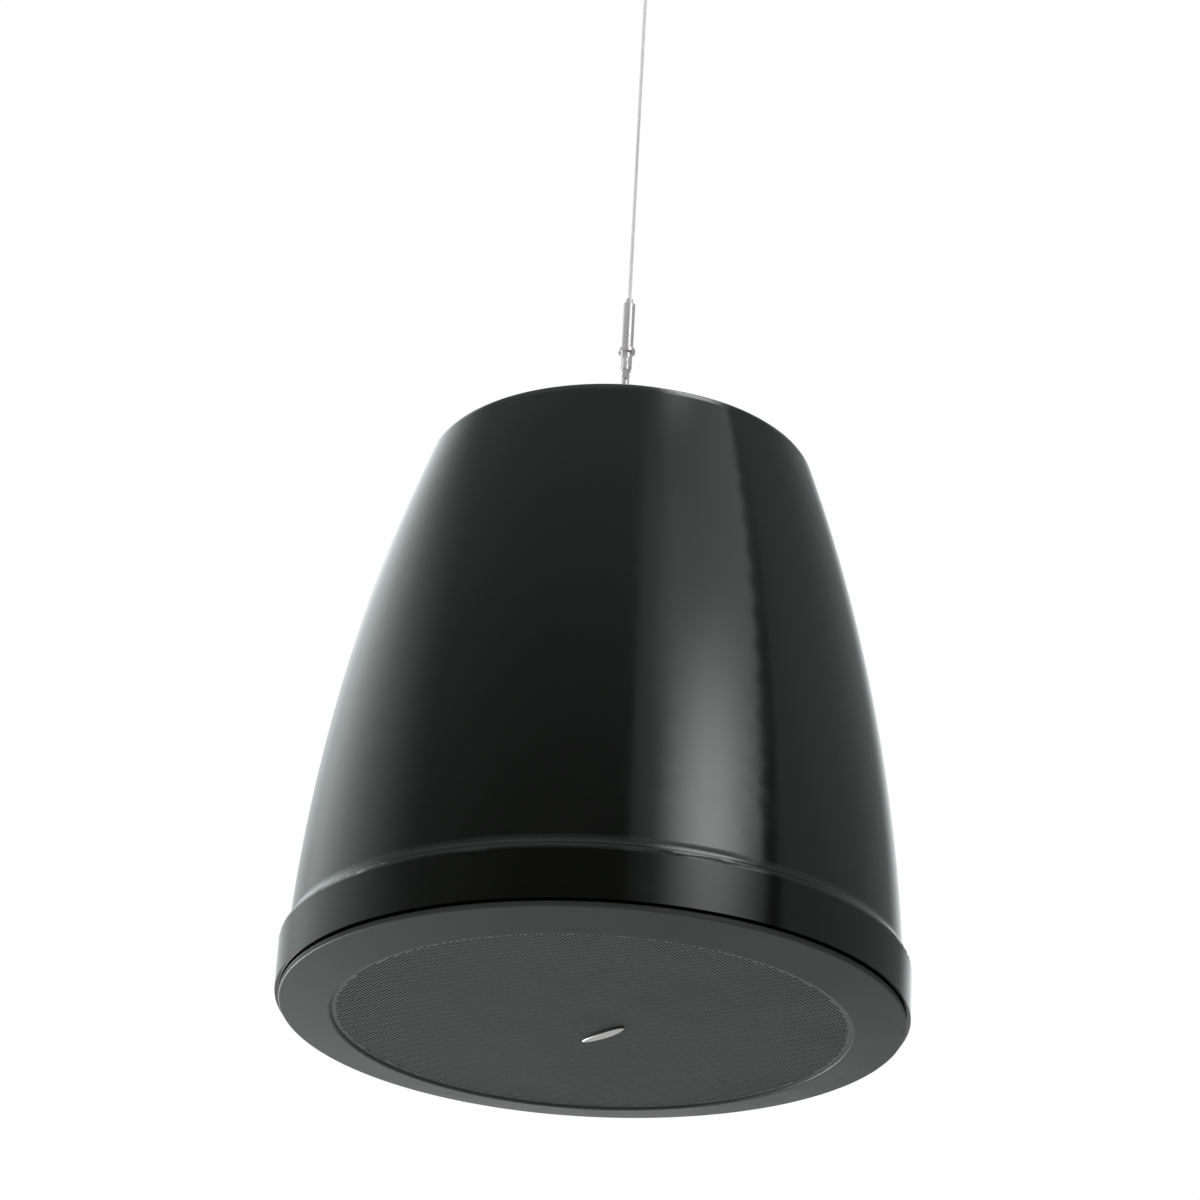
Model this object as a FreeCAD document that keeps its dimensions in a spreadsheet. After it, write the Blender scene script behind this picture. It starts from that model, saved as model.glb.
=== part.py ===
import FreeCAD, Part
import math
import os
import re

import Sketcher
from FreeCAD import Vector

# Pendant loudspeaker on a wire rope: a two-way driver in a bell-shaped moulded housing.
# Heights in the sizes are measured from the lower outer edge of the face ring. The finished part has
# its origin at the hole of the rope's upper eye, so every piece is lowered by the height of that hole.

SIZES = {
    # Housing
    "face_inset": (2.0, "ring round the grille inside the band's outside"),
    "ledge_width": (19.0, "ledge for the baffle, inwards from the band's wall"),
    "band_foot": (3.5, "lower edge of the band"),
    "band_height": (32.0, "upper ledge of the band"),
    "band_edge": (4.0, "rounding of the band's upper edge"),
    "foot_fillet": (8.0, "hollow between the band and the side"),
    "band_step": (4.2, "band beyond the bell's side at its upper ledge"),
    "side_taper": (53.6, "how much narrower the bell is at its top, before rounding"),
    "side_arc": (985.0, "bulge of the side"),
    "shoulder_fillet": (9.0, "rounding of the bell's top edge"),
    "shell_height": (305.0, "flat top of the bell"),
    "wall": (4.0, "wall of the bell"),
    "ledge_low": (22.0, "underside of the ledge that carries the baffle"),
    "ledge_depth": (5.0, "thickness of the ledge"),
    "boss_radius": (5.0, "screw boss on the ledge"),
    "boss_height": (10.0, "screw boss above the ledge"),
    "rib_width": (3.0, "thickness of a rib"),
    "rib_height": (40.0, "height of a rib above the ledge"),
    "seat_gap": (0.05, "clearance between pieces that rest on each other's curves"),
    # Face
    "face_width": (26.4, "face ring, from its outer edge to its opening"),
    "face_dish": (4.3, "how far the face ring slopes down to its opening"),
    "lip_depth": (1.5, "face ring below the grille sheet"),
    "lip_overlap": (3.0, "grille sheet hidden behind the ring"),
    "lip_round": (1.2, "rounding of the ring's inner lip"),
    "face_round": (0.8, "rounding of the ring's outer edge"),
    "ring_rim": (2.5, "height of the ring's outer rim"),
    "skirt_inset": (5.5, "ring's skirt inside the ring's outer edge"),
    "skirt_wall": (3.0, "thickness of the skirt"),
    "sheet_depth": (1.0, "thickness of the grille sheet"),
    "hole_pitch": (16.6, "distance between the grille's openings"),
    "hole_width": (12.6, "opening of the grille across flats"),
    "scrim_depth": (0.5, "thickness of the cloth behind the grille"),
    "badge_length": (31.0, "bar on the grille"),
    "badge_width": (6.0, "bar on the grille"),
    "badge_depth": (1.8, "bar on the grille"),
    "badge_turn": (-50.0, "bar's angle seen from above, in degrees"),
    "badge_right": (5.0, "bar's middle, sideways from the axis"),
    "badge_back": (8.0, "bar's middle, behind the axis"),
    # Baffle
    "baffle_low": (14.0, "underside of the baffle"),
    "baffle_depth": (6.0, "thickness of the baffle"),
    "baffle_gap": (0.4, "clearance between the baffle and the band"),
    "baffle_screw_count": (8, "screws that hold the baffle"),
    "baffle_screw_inset": (7.0, "baffle screws beyond the ledge's opening"),
    "screw_radius": (1.6, "shank of the small screws"),
    "screw_head": (3.3, "head radius of the small screws"),
    "screw_head_depth": (2.2, "head height of the small screws"),
    "screw_clearance": (0.4, "hole beyond the shank"),
    "pilot_gap": (0.05, "pilot hole beyond the shank"),
    "cutout_inset": (12.0, "baffle's cut-out inside the driver's flange"),
    "port_margin": (1.0, "port's rim clear of the driver and of the ledge"),
    "port_radius": (18.0, "bore of a port"),
    "port_wall": (2.0, "wall of a port tube"),
    "port_length": (90.0, "length of a port tube"),
    "port_flange": (23.0, "rim of a port"),
    "port_rim": (2.0, "thickness of a port's rim"),
    "lining_depth": (8.0, "thickness of the damping felt"),
    "lining_low": (85.0, "lower edge of the damping felt"),
    "lining_margin": (20.0, "felt's upper edge below the bell's top"),
    # Driver
    "driver_radius": (86.0, "flange of the basket"),
    "driver_flange": (4.0, "thickness of the basket's flange"),
    "driver_gasket_depth": (1.0, "gasket between basket and baffle"),
    "driver_screw_inset": (4.0, "driver screws inside the flange's edge"),
    "driver_screw_count": (4, "screws that hold the driver"),
    "mouth_inset": (16.0, "basket's inside at the flange, from the flange's edge"),
    "basket_wall": (2.5, "thickness of the basket"),
    "waist_inset": (34.0, "basket's inside at the spider's shelf, from the flange's edge"),
    "neck_inset": (42.0, "basket's inside behind the spider, from the flange's edge"),
    "shelf_height": (38.0, "spider's shelf"),
    "basket_back": (55.0, "inside of the basket's back"),
    "basket_back_depth": (3.0, "thickness of the basket's back"),
    "window_count": (6, "windows of the basket"),
    "window_width": (34.0, "windows of the basket"),
    "window_low": (17.0, "lower edge of a window"),
    "window_high": (34.0, "upper edge of a window"),
    "top_plate_radius": (40.0, "magnet's front plate"),
    "top_plate_depth": (6.0, "magnet's front plate"),
    "coil_gap_radius": (14.1, "hole of the magnet's front plate"),
    "magnet_radius": (45.0, "ring magnet"),
    "magnet_bore": (25.0, "ring magnet"),
    "magnet_depth": (15.0, "ring magnet"),
    "back_plate_depth": (6.0, "magnet's back plate"),
    "pole_radius": (12.2, "pole inside the voice coil"),
    "former_bore": (12.6, "inside of the coil former"),
    "former_wall": (0.3, "wall of the coil former"),
    "former_low": (29.0, "lower end of the coil former"),
    "former_high": (68.0, "upper end of the coil former"),
    "winding_wall": (0.7, "thickness of the winding"),
    "winding_height": (14.0, "height of the winding"),
    "cone_neck": (32.0, "height where the cone meets the former"),
    "cone_bulge": (160.0, "arc of the cone's flare"),
    "cone_wall": (0.8, "thickness of the cone"),
    "cone_lip_inset": (28.0, "where the cone turns into its flat lip, from the flange's edge"),
    "cone_inset": (24.0, "edge of the cone, from the flange's edge"),
    "roll_inset": (12.0, "outer edge of the surround's roll, from the flange's edge"),
    "surround_inset": (7.5, "outer edge of the surround, from the flange's edge"),
    "surround_wall": (0.8, "thickness of the surround"),
    "spider_depth": (1.2, "thickness of the spider"),
    "spider_rim": (1.0, "clearance round the spider"),
    "spider_gap": (0.3, "clearance round the coil former"),
    "post_radius": (4.0, "post that carries the tweeter"),
    "tweeter_radius": (17.0, "tweeter"),
    "tweeter_low": (6.0, "front of the tweeter"),
    "tweeter_depth": (11.0, "height of the tweeter"),
    "dome_radius": (12.0, "tweeter's dome"),
    "dome_rise": (3.5, "tweeter's dome"),
    "tab_width": (6.0, "driver's solder terminals"),
    # Parts on the baffle
    "switch_inset": (6.0, "tap switch sideways and forwards, inside the driver's radius"),
    "switch_radius": (12.0, "tap switch"),
    "switch_height": (14.0, "tap switch"),
    "bush_radius": (4.5, "tap switch's bush"),
    "shaft_radius": (3.0, "tap switch's shaft"),
    "shaft_fit": (0.06, "running clearance of the shaft"),
    "knob_radius": (9.0, "tap knob"),
    "knob_low": (4.0, "front of the tap knob"),
    "knob_height": (8.5, "tap knob"),
    "knob_flutes": (12, "finger flutes round the tap knob"),
    "transformer_inset": (28.0, "line transformer from the ledge's opening"),
    "transformer_width": (44.0, "laminations, sideways"),
    "transformer_height": (36.0, "laminations, upwards"),
    "transformer_stack": (20.0, "laminations, front to back"),
    "transformer_limb": (7.0, "width of a lamination's outer limb"),
    "winding_reach": (8.0, "winding beyond the stack"),
    "bracket_wall": (1.2, "strap over the transformer"),
    "bracket_foot": (10.0, "each foot of the strap"),
    "board_inset": (26.0, "crossover board from the ledge's opening"),
    "board_length": (76.0, "crossover board"),
    "board_width": (32.0, "crossover board"),
    "board_depth": (1.6, "crossover board"),
    "board_lift": (6.0, "crossover board above the baffle"),
    "stud_radius": (3.0, "spacers under the board"),
    "inductor_radius": (13.0, "crossover coil"),
    "inductor_height": (14.0, "crossover coil"),
    "capacitor_radius": (6.0, "crossover capacitors"),
    "capacitor_height": (22.0, "crossover capacitors"),
    "resistor_length": (24.0, "crossover resistor"),
    # Top
    "cover_inset": (26.2, "round cover inside the bell's top"),
    "cover_height": (13.0, "round cover"),
    "cover_wall": (2.5, "round cover"),
    "cover_round": (5.0, "rounding of the cover's edge"),
    "cover_gasket": (1.0, "seal under the cover"),
    "cover_screw_inset": (10.5, "cover screws inside the cover's edge"),
    "cover_screw_count": (4, "screws that hold the cover"),
    "cover_boss": (4.5, "screw posts inside the cover"),
    "bracket_margin": (8.0, "steel bracket's ends clear of the cover's screw posts"),
    "bracket_width": (36.0, "base of the steel bracket"),
    "bracket_depth": (3.0, "base of the steel bracket"),
    "bracket_screw_inset": (29.0, "bracket screws from the bracket's ends"),
    "bracket_screw_y": (12.0, "bracket screws front to back"),
    "bolt_radius": (2.5, "shank of the bracket screws"),
    "bolt_head": (4.5, "head radius of the bracket screws"),
    "bolt_head_depth": (2.7, "head height of the bracket screws"),
    "lug_depth": (4.0, "thickness of both lugs"),
    "lug_half_width": (11.0, "half the main lug's width"),
    "lug_rise": (10.0, "main hole above the cover"),
    "lug_hole": (5.0, "radius of the main hole"),
    "safety_inset": (12.0, "safety lug from the bracket's end"),
    "safety_half_width": (10.0, "half the safety lug's width"),
    "safety_rise": (8.0, "safety hole above the cover"),
    "safety_hole": (5.5, "radius of the safety hole"),
    "slot_gap": (0.5, "cover's slots round the lugs"),
    "gland_inset": (12.0, "cable gland from the bracket's end"),
    "gland_bore": (4.0, "hole for the cable"),
    "gland_thread": (8.0, "gland's thread"),
    "gland_hex": (10.0, "gland's hexagon, centre to corner"),
    "gland_height": (5.0, "gland's hexagon"),
    "gland_dome": (8.0, "gland's dome nut"),
    "gland_nut_depth": (3.0, "nut inside the cover"),
    "terminal_gap": (9.0, "terminal block behind the bracket"),
    "terminal_length": (40.0, "terminal block"),
    "terminal_width": (15.0, "terminal block"),
    "terminal_height": (9.0, "terminal block"),
    # Suspension
    "wire_radius": (2.0, "hook's bar"),
    "hook_bend": (8.0, "centre line of the hook's bends"),
    "hook_straight": (22.4, "straight side of the hook"),
    "hook_boss": (3.0, "hook's swivel boss"),
    "hook_boss_low": (4.0, "boss below the bar's top line"),
    "hook_boss_high": (5.0, "boss above the bar's top line"),
    "nose_length": (3.0, "hook's straight nose"),
    "arm_length": (1.5, "hook's straight arm above the gate"),
    "tongue_depth": (1.8, "tongue in the gate's fork"),
    "tongue_drop": (5.6, "length of the tongue"),
    "pin_drop": (3.6, "gate's pin below the arm"),
    "pin_radius": (0.75, "gate's pin"),
    "pin_half_length": (2.1, "gate's pin"),
    "pin_fit": (0.05, "running clearance of the pin"),
    "gate_gap": (0.3, "gate's clearance at the nose and the tongue"),
    "fork_reach": (2.5, "fork above its pin"),
    "fork_root": (2.9, "fork's slot below its pin"),
    "gate_radius": (2.0, "gate's bar"),
    "swivel_stem": (1.6, "stem through the hook's boss"),
    "swivel_fit": (0.06, "running clearance of the stem"),
    "swivel_end_gap": (0.1, "clearance at each end of the boss"),
    "swivel_head": (2.7, "stem's lower head"),
    "swivel_head_depth": (2.2, "stem's lower head"),
    "collar_radius": (4.5, "swivel's collar"),
    "collar_depth": (2.8, "swivel's collar"),
    "barrel_radius": (3.25, "cable gripper"),
    "barrel_length": (27.5, "cable gripper"),
    "barrel_edge": (0.6, "cable gripper's chamfers"),
    "barrel_floor": (4.0, "solid foot of the gripper"),
    "barrel_bore": (2.4, "cavity of the gripper"),
    "barrel_lip": (2.6, "lip that holds the plunger"),
    "plunger_radius": (1.85, "release plunger"),
    "plunger_bore": (1.3, "rope's way through the plunger"),
    "plunger_flange": (2.3, "plunger's flange"),
    "plunger_flange_depth": (3.8, "plunger's flange"),
    "plunger_fit": (0.1, "running clearance of the plunger"),
    "plunger_stick": (2.8, "plunger beyond the gripper"),
    "plunger_travel": (2.2, "how far the plunger goes in"),
    "ball_radius": (0.5, "gripping balls"),
    "ball_ring": (1.7, "distance of the balls from the axis"),
    "ball_count": (3, "gripping balls"),
    "spring_radius": (1.75, "plunger's spring, centre of the wire"),
    "spring_wire": (0.25, "plunger's spring"),
    "spring_turns": (5, "plunger's spring"),
    "rope_radius": (1.0, "wire rope"),
    "rope_run": (193.6, "free rope between gripper and ferrule"),
    "ferrule_radius": (2.3, "ferrule on the rope"),
    "ferrule_length": (14.0, "ferrule on the rope"),
    "rope_grip": (11.0, "rope inside the ferrule"),
    "rope_fit": (0.05, "bore beyond the rope"),
    "eye_outer": (8.0, "eye at the rope's end"),
    "eye_hole": (3.25, "hole of the eye"),
    "eye_depth": (4.0, "thickness of the eye"),
    "eye_rise": (6.0, "hole above the ferrule"),
}

# Radii and places that follow from other sizes, from the driver outwards

WORKED = {
    "cutout_radius": "driver_radius - cutout_inset",
    "driver_screw_ring": "driver_radius - driver_screw_inset",
    "basket_mouth": "driver_radius - mouth_inset",
    "basket_waist": "driver_radius - waist_inset",
    "basket_neck": "driver_radius - neck_inset",
    "cone_lip": "driver_radius - cone_lip_inset",
    "cone_radius": "driver_radius - cone_inset",
    "roll_radius": "driver_radius - roll_inset",
    "surround_radius": "driver_radius - surround_inset",
    "port_ring": "driver_radius + port_margin + port_flange",
    "switch_place": "driver_radius - switch_inset",
    "ledge_radius": "port_ring + port_flange + port_margin",
    "transformer_place": "ledge_radius - transformer_inset",
    "board_place": "ledge_radius - board_inset",
    "baffle_screw_ring": "ledge_radius + baffle_screw_inset",
    "band_radius": "ledge_radius + ledge_width + wall",
    "face_radius": "band_radius - face_inset",
    "grille_radius": "face_radius - face_width",
    "skirt_radius": "face_radius - skirt_inset",
    "side_low_radius": "band_radius - band_step",
    "side_top_radius": "side_low_radius - side_taper",
    "cover_radius": "side_top_radius - cover_inset",
    "cover_screw_ring": "cover_radius - cover_screw_inset",
    "bracket_half": "cover_screw_ring - cover_boss - bracket_margin",
    "bracket_screw_x": "bracket_half - bracket_screw_inset",
    "safety_place": "bracket_half - safety_inset",
    "gland_place": "bracket_half - gland_inset",
    "terminal_place": "bracket_width / 2 + terminal_gap + terminal_width / 2",
    "lining_high": "shell_height - lining_margin",
}

# Heights worked out from the sizes

GRILLE_LOW = "(lip_depth - face_dish)"
SCRIM_LOW = f"({GRILLE_LOW} + sheet_depth)"
BAFFLE_HIGH = "(baffle_low + baffle_depth)"
LEDGE_HIGH = "(ledge_low + ledge_depth)"
FLANGE_HIGH = "(baffle_low - driver_gasket_depth)"
FLANGE_LOW = f"({FLANGE_HIGH} - driver_flange)"
CONE_LIP_LOW = f"({FLANGE_LOW} + 0.3)"
PLATE_LOW = "(basket_back + basket_back_depth)"
MAGNET_LOW = f"({PLATE_LOW} + top_plate_depth)"
MAGNET_HIGH = f"({MAGNET_LOW} + magnet_depth)"
COVER_LOW = "(shell_height + cover_gasket)"
COVER_HIGH = f"({COVER_LOW} + cover_height)"
BRACKET_HIGH = "(shell_height + bracket_depth)"
BACKING_LOW = "(shell_height - wall - bracket_depth)"
LUG_HOLE = f"({COVER_HIGH} + lug_rise)"
SAFETY_HOLE = f"({COVER_HIGH} + safety_rise)"
HOOK_INNER = "(hook_bend - wire_radius)"
HOOK_SAG = f"({HOOK_INNER} - sqrt({HOOK_INNER} * {HOOK_INNER} - lug_depth * lug_depth / 4))"
BEND_LOW = f"({LUG_HOLE} + lug_hole - {HOOK_SAG} - seat_gap + {HOOK_INNER})"
BEND_HIGH = f"({BEND_LOW} + hook_straight)"
ARM_LOW = f"({BEND_HIGH} - arm_length)"
PIN_HEIGHT = f"({ARM_LOW} - pin_drop)"
NOSE_HIGH = f"({BEND_LOW} + nose_length)"
HOOK_TOP_LINE = f"({BEND_HIGH} + hook_bend)"
BOSS_LOW = f"({HOOK_TOP_LINE} - hook_boss_low)"
BOSS_HIGH = f"({HOOK_TOP_LINE} + hook_boss_high)"
COLLAR_LOW = f"({BOSS_HIGH} + swivel_end_gap)"
BARREL_LOW = f"({COLLAR_LOW} + collar_depth)"
BARREL_HIGH = f"({BARREL_LOW} + barrel_length)"
CAVITY_LOW = f"({BARREL_LOW} + barrel_floor)"
LIP_LOW = f"({BARREL_HIGH} - barrel_lip)"
PLUNGER_LOW = f"({LIP_LOW} - plunger_flange_depth - seat_gap)"
FERRULE_LOW = f"({BARREL_HIGH} + plunger_stick + rope_run)"
FERRULE_HIGH = f"({FERRULE_LOW} + ferrule_length)"
EYE_HEIGHT = f"({FERRULE_HIGH} + eye_rise)"

SIDE_RUN = "(side_low_radius - side_top_radius)"
SIDE_RISE = "(shell_height - band_height)"
SIDE_CHORD = f"sqrt({SIDE_RUN} * {SIDE_RUN} + {SIDE_RISE} * {SIDE_RISE})"
SIDE_DEEP = f"sqrt(side_arc * side_arc - ({SIDE_RUN} * {SIDE_RUN} + {SIDE_RISE} * {SIDE_RISE}) / 4)"
SIDE_CENTRE = f"((side_low_radius + side_top_radius) / 2 - {SIDE_RISE} / {SIDE_CHORD} * {SIDE_DEEP})"
SIDE_LEVEL = f"((band_height + shell_height) / 2 - {SIDE_RUN} / {SIDE_CHORD} * {SIDE_DEEP})"


def side_at(height, inward):
    """Give the bell's radius at a height, for the side's arc moved inward by a distance."""
    arc = f"(side_arc - {inward})"
    return f"({SIDE_CENTRE} + sqrt({arc} * {arc} - ({height} - {SIDE_LEVEL}) * ({height} - {SIDE_LEVEL})))"


doc = FreeCAD.newDocument("PendantSpeaker")


def bound(expression):
    """Write each size's plain name as its cell in the sheet, and each worked name as its own sum."""
    def cell(match):
        name = match.group(0)
        if name in WORKED:
            return f"({bound(WORKED[name])})"
        return f"Sizes.{name}" if name in SIZES else name
    return re.sub(r"[a-z][a-z_]*", cell, expression)


def make_sheet():
    """Put the driving sizes into the document, one named cell each."""
    sheet = doc.addObject("Spreadsheet::Sheet", "Sizes")
    for row, (name, (value, note)) in enumerate(SIZES.items(), start=1):
        sheet.set(f"A{row}", name)
        sheet.set(f"B{row}", str(value))
        sheet.set(f"C{row}", note)
        sheet.setAlias(f"B{row}", name)
    doc.recompute()
    return sheet


sheet = make_sheet()
finished = []


def value(expression):
    """Work an expression out from the sheet."""
    result = sheet.evalExpression(bound(expression))
    return float(getattr(result, "Value", result))


def place(item, x="0", y="0"):
    """Give a piece its Placement: sideways as told, and lowered below the eye."""
    item.setExpression("Placement.Base.x", bound(x))
    item.setExpression("Placement.Base.y", bound(y))
    item.setExpression("Placement.Base.z", bound(f"-{EYE_HEIGHT}"))


def new_body(label, x="0", y="0"):
    """Start one piece."""
    body = doc.addObject("PartDesign::Body", label)
    body.Label = label
    place(body, x, y)
    finished.append(body)
    return body


def origin_item(body, role):
    """Find one of the body's own planes or axes."""
    return next(item for item in body.Origin.OriginFeatures if item.Role == role)


def new_sketch(body, plane, lift="0"):
    """Attach a sketch to one of the body's origin planes, at a distance along its normal."""
    sketch = body.newObject("Sketcher::SketchObject", f"{body.Name}_sketch")
    sketch.AttachmentSupport = [(origin_item(body, plane), "")]
    sketch.MapMode = "FlatFace"
    sketch.setExpression("AttachmentOffset.Base.z", bound(lift))
    return sketch


def arc_middle(start, end, radius):
    """Find the middle of the minor arc; a positive radius bulges to the right of the way walked."""
    chord = end - start
    middle = (start + end) * 0.5
    normal = Vector(chord.y, -chord.x, 0)
    normal.normalize()
    rise = abs(radius) - math.sqrt(max(radius * radius - chord.Length ** 2 / 4, 0.0))
    return middle + normal * math.copysign(rise, radius)


def draw_loop(sketch, corners):
    """Draw a closed outline: corners are (x, y) or (x, y, radius of the arc to the next corner)."""
    points = [Vector(value(corner[0]), value(corner[1]), 0) for corner in corners]
    edges = []
    for index, corner in enumerate(corners):
        start = points[index]
        end = points[(index + 1) % len(points)]
        if len(corner) == 3:
            curve = Part.Arc(start, arc_middle(start, end, value(corner[2])), end)
        else:
            curve = Part.LineSegment(start, end)
        edges.append(sketch.addGeometry(curve, False))

    def end_at(edge, point):
        near = (sketch.getPoint(edge, 1) - point).Length
        far = (sketch.getPoint(edge, 2) - point).Length
        return 1 if near < far else 2

    for index, corner in enumerate(corners):
        edge = edges[index]
        previous = edges[index - 1]
        here = points[index]
        first = end_at(edge, here)
        last = end_at(previous, here)
        sketch.addConstraint(Sketcher.Constraint("Coincident", previous, last, edge, first))
        for kind, text, number in (("DistanceX", corner[0], here.x), ("DistanceY", corner[1], here.y)):
            rule = sketch.addConstraint(Sketcher.Constraint(kind, -1, 1, edge, first, number))
            sketch.setExpression(f"Constraints[{rule}]", bound(text))
        if len(corner) == 3:
            size = abs(value(corner[2]))
            rule = sketch.addConstraint(Sketcher.Constraint("Radius", edge, size))
            sketch.setExpression(f"Constraints[{rule}]", bound(f"abs({corner[2]})"))


def draw_circle(sketch, x, y, radius):
    """Draw a circle at a bound place."""
    centre = Vector(value(x), value(y), 0)
    edge = sketch.addGeometry(Part.Circle(centre, Vector(0, 0, 1), value(radius)), False)
    for kind, text, number in (("DistanceX", x, centre.x), ("DistanceY", y, centre.y)):
        rule = sketch.addConstraint(Sketcher.Constraint(kind, -1, 1, edge, 3, number))
        sketch.setExpression(f"Constraints[{rule}]", bound(text))
    rule = sketch.addConstraint(Sketcher.Constraint("Radius", edge, value(radius)))
    sketch.setExpression(f"Constraints[{rule}]", bound(radius))


def draw(sketch, shapes):
    """Draw circles given as ("circle", x, y, radius) and outlines given as lists of corners."""
    for shape in shapes:
        if shape[0] == "circle":
            draw_circle(sketch, *shape[1:])
        else:
            draw_loop(sketch, shape)


def box_outline(half_x, half_y, x="0", y="0"):
    """Give the corners of a rectangle about a centre."""
    return [
        (f"{x} - {half_x}", f"{y} - {half_y}"),
        (f"{x} + {half_x}", f"{y} - {half_y}"),
        (f"{x} + {half_x}", f"{y} + {half_y}"),
        (f"{x} - {half_x}", f"{y} + {half_y}"),
    ]


def hexagon(radius, x="0", y="0"):
    """Give the corners of a regular hexagon with a corner on each side along X."""
    return [
        (f"{x} + {radius}", y),
        (f"{x} + {radius} / 2", f"{y} + {radius} * sqrt(3) / 2"),
        (f"{x} - {radius} / 2", f"{y} + {radius} * sqrt(3) / 2"),
        (f"{x} - {radius}", y),
        (f"{x} - {radius} / 2", f"{y} - {radius} * sqrt(3) / 2"),
        (f"{x} + {radius} / 2", f"{y} - {radius} * sqrt(3) / 2"),
    ]


def revolve(body, corners):
    """Turn an outline of (radius, height) corners about the body's own upright axis."""
    sketch = new_sketch(body, "XZ_Plane")
    draw_loop(sketch, corners)
    turned = body.newObject("PartDesign::Revolution", f"{body.Name}_turned")
    turned.Profile = sketch
    turned.ReferenceAxis = (sketch, ["V_Axis"])
    turned.Angle = 360
    doc.recompute()
    return turned


def pad(body, plane, shapes, length, lift="0", both_ways=False):
    """Push shapes out of a plane, upwards or evenly both ways."""
    sketch = new_sketch(body, plane, lift)
    draw(sketch, shapes)
    padded = body.newObject("PartDesign::Pad", f"{body.Name}_pad")
    padded.Profile = sketch
    padded.setExpression("Length", bound(length))
    if both_ways:
        padded.SideType = "Symmetric"
    doc.recompute()
    return padded


def pocket(body, plane, shapes, depth, lift="0", both_ways=False):
    """Cut shapes downwards from a plane, or evenly both ways, and make sure that something went."""
    before = body.Shape.Volume
    sketch = new_sketch(body, plane, lift)
    draw(sketch, shapes)
    cut = body.newObject("PartDesign::Pocket", f"{body.Name}_pocket")
    cut.Profile = sketch
    cut.setExpression("Length", bound(depth))
    if both_ways:
        cut.SideType = "Symmetric"
    doc.recompute()
    if body.Shape.Volume >= before - 1e-6:
        raise RuntimeError(f"{body.Label}: {cut.Name} cuts nothing")
    return cut


def polar(body, features, count):
    """Repeat features evenly round the body's own upright axis."""
    pattern = body.newObject("PartDesign::PolarPattern", f"{body.Name}_pattern")
    pattern.Originals = features
    pattern.Axis = (origin_item(body, "Z_Axis"), [""])
    pattern.Angle = 360
    pattern.setExpression("Occurrences", bound(count))
    body.Tip = pattern
    doc.recompute()
    return pattern


def round_edges(body, circles, radius):
    """Fillet the round edges that have the given (radius, height) pairs."""
    wanted = [(value(size), value(height)) for size, height in circles]
    names = []
    for index, edge in enumerate(body.Shape.Edges, start=1):
        if not isinstance(edge.Curve, Part.Circle):
            continue
        centre = body.Placement.inverse().multVec(edge.Curve.Center)
        for size, height in wanted:
            if abs(edge.Curve.Radius - size) < 0.02 and abs(centre.z - height) < 0.02:
                names.append(f"Edge{index}")
    if len(names) < len(wanted):
        raise RuntimeError(f"{body.Label}: an edge to round is missing")
    solid = body.Tip
    fillet = body.newObject("PartDesign::Fillet", f"{body.Name}_fillet")
    fillet.Base = (solid, names)
    fillet.setExpression("Radius", bound(radius))
    body.Tip = fillet
    doc.recompute()
    return fillet


def tube(body, inner, outer, low, high):
    """Turn a plain tube."""
    return revolve(body, [(inner, low), (outer, low), (outer, high), (inner, high)])


def turned_screw(body, x, low, head_radius, head_depth, shank_radius, shank_length, head_up):
    """Pad one screw at a distance from the axis: its head starts at a height and its shank leaves it."""
    head_low = low if head_up else f"{low} - {head_depth}"
    shank_low = f"{low} - {shank_length}" if head_up else low
    head = pad(body, "XY_Plane", [("circle", x, "0", head_radius)], head_depth, head_low)
    shank = pad(body, "XY_Plane", [("circle", x, "0", shank_radius)], shank_length, shank_low)
    return [head, shank]


# Housing


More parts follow.
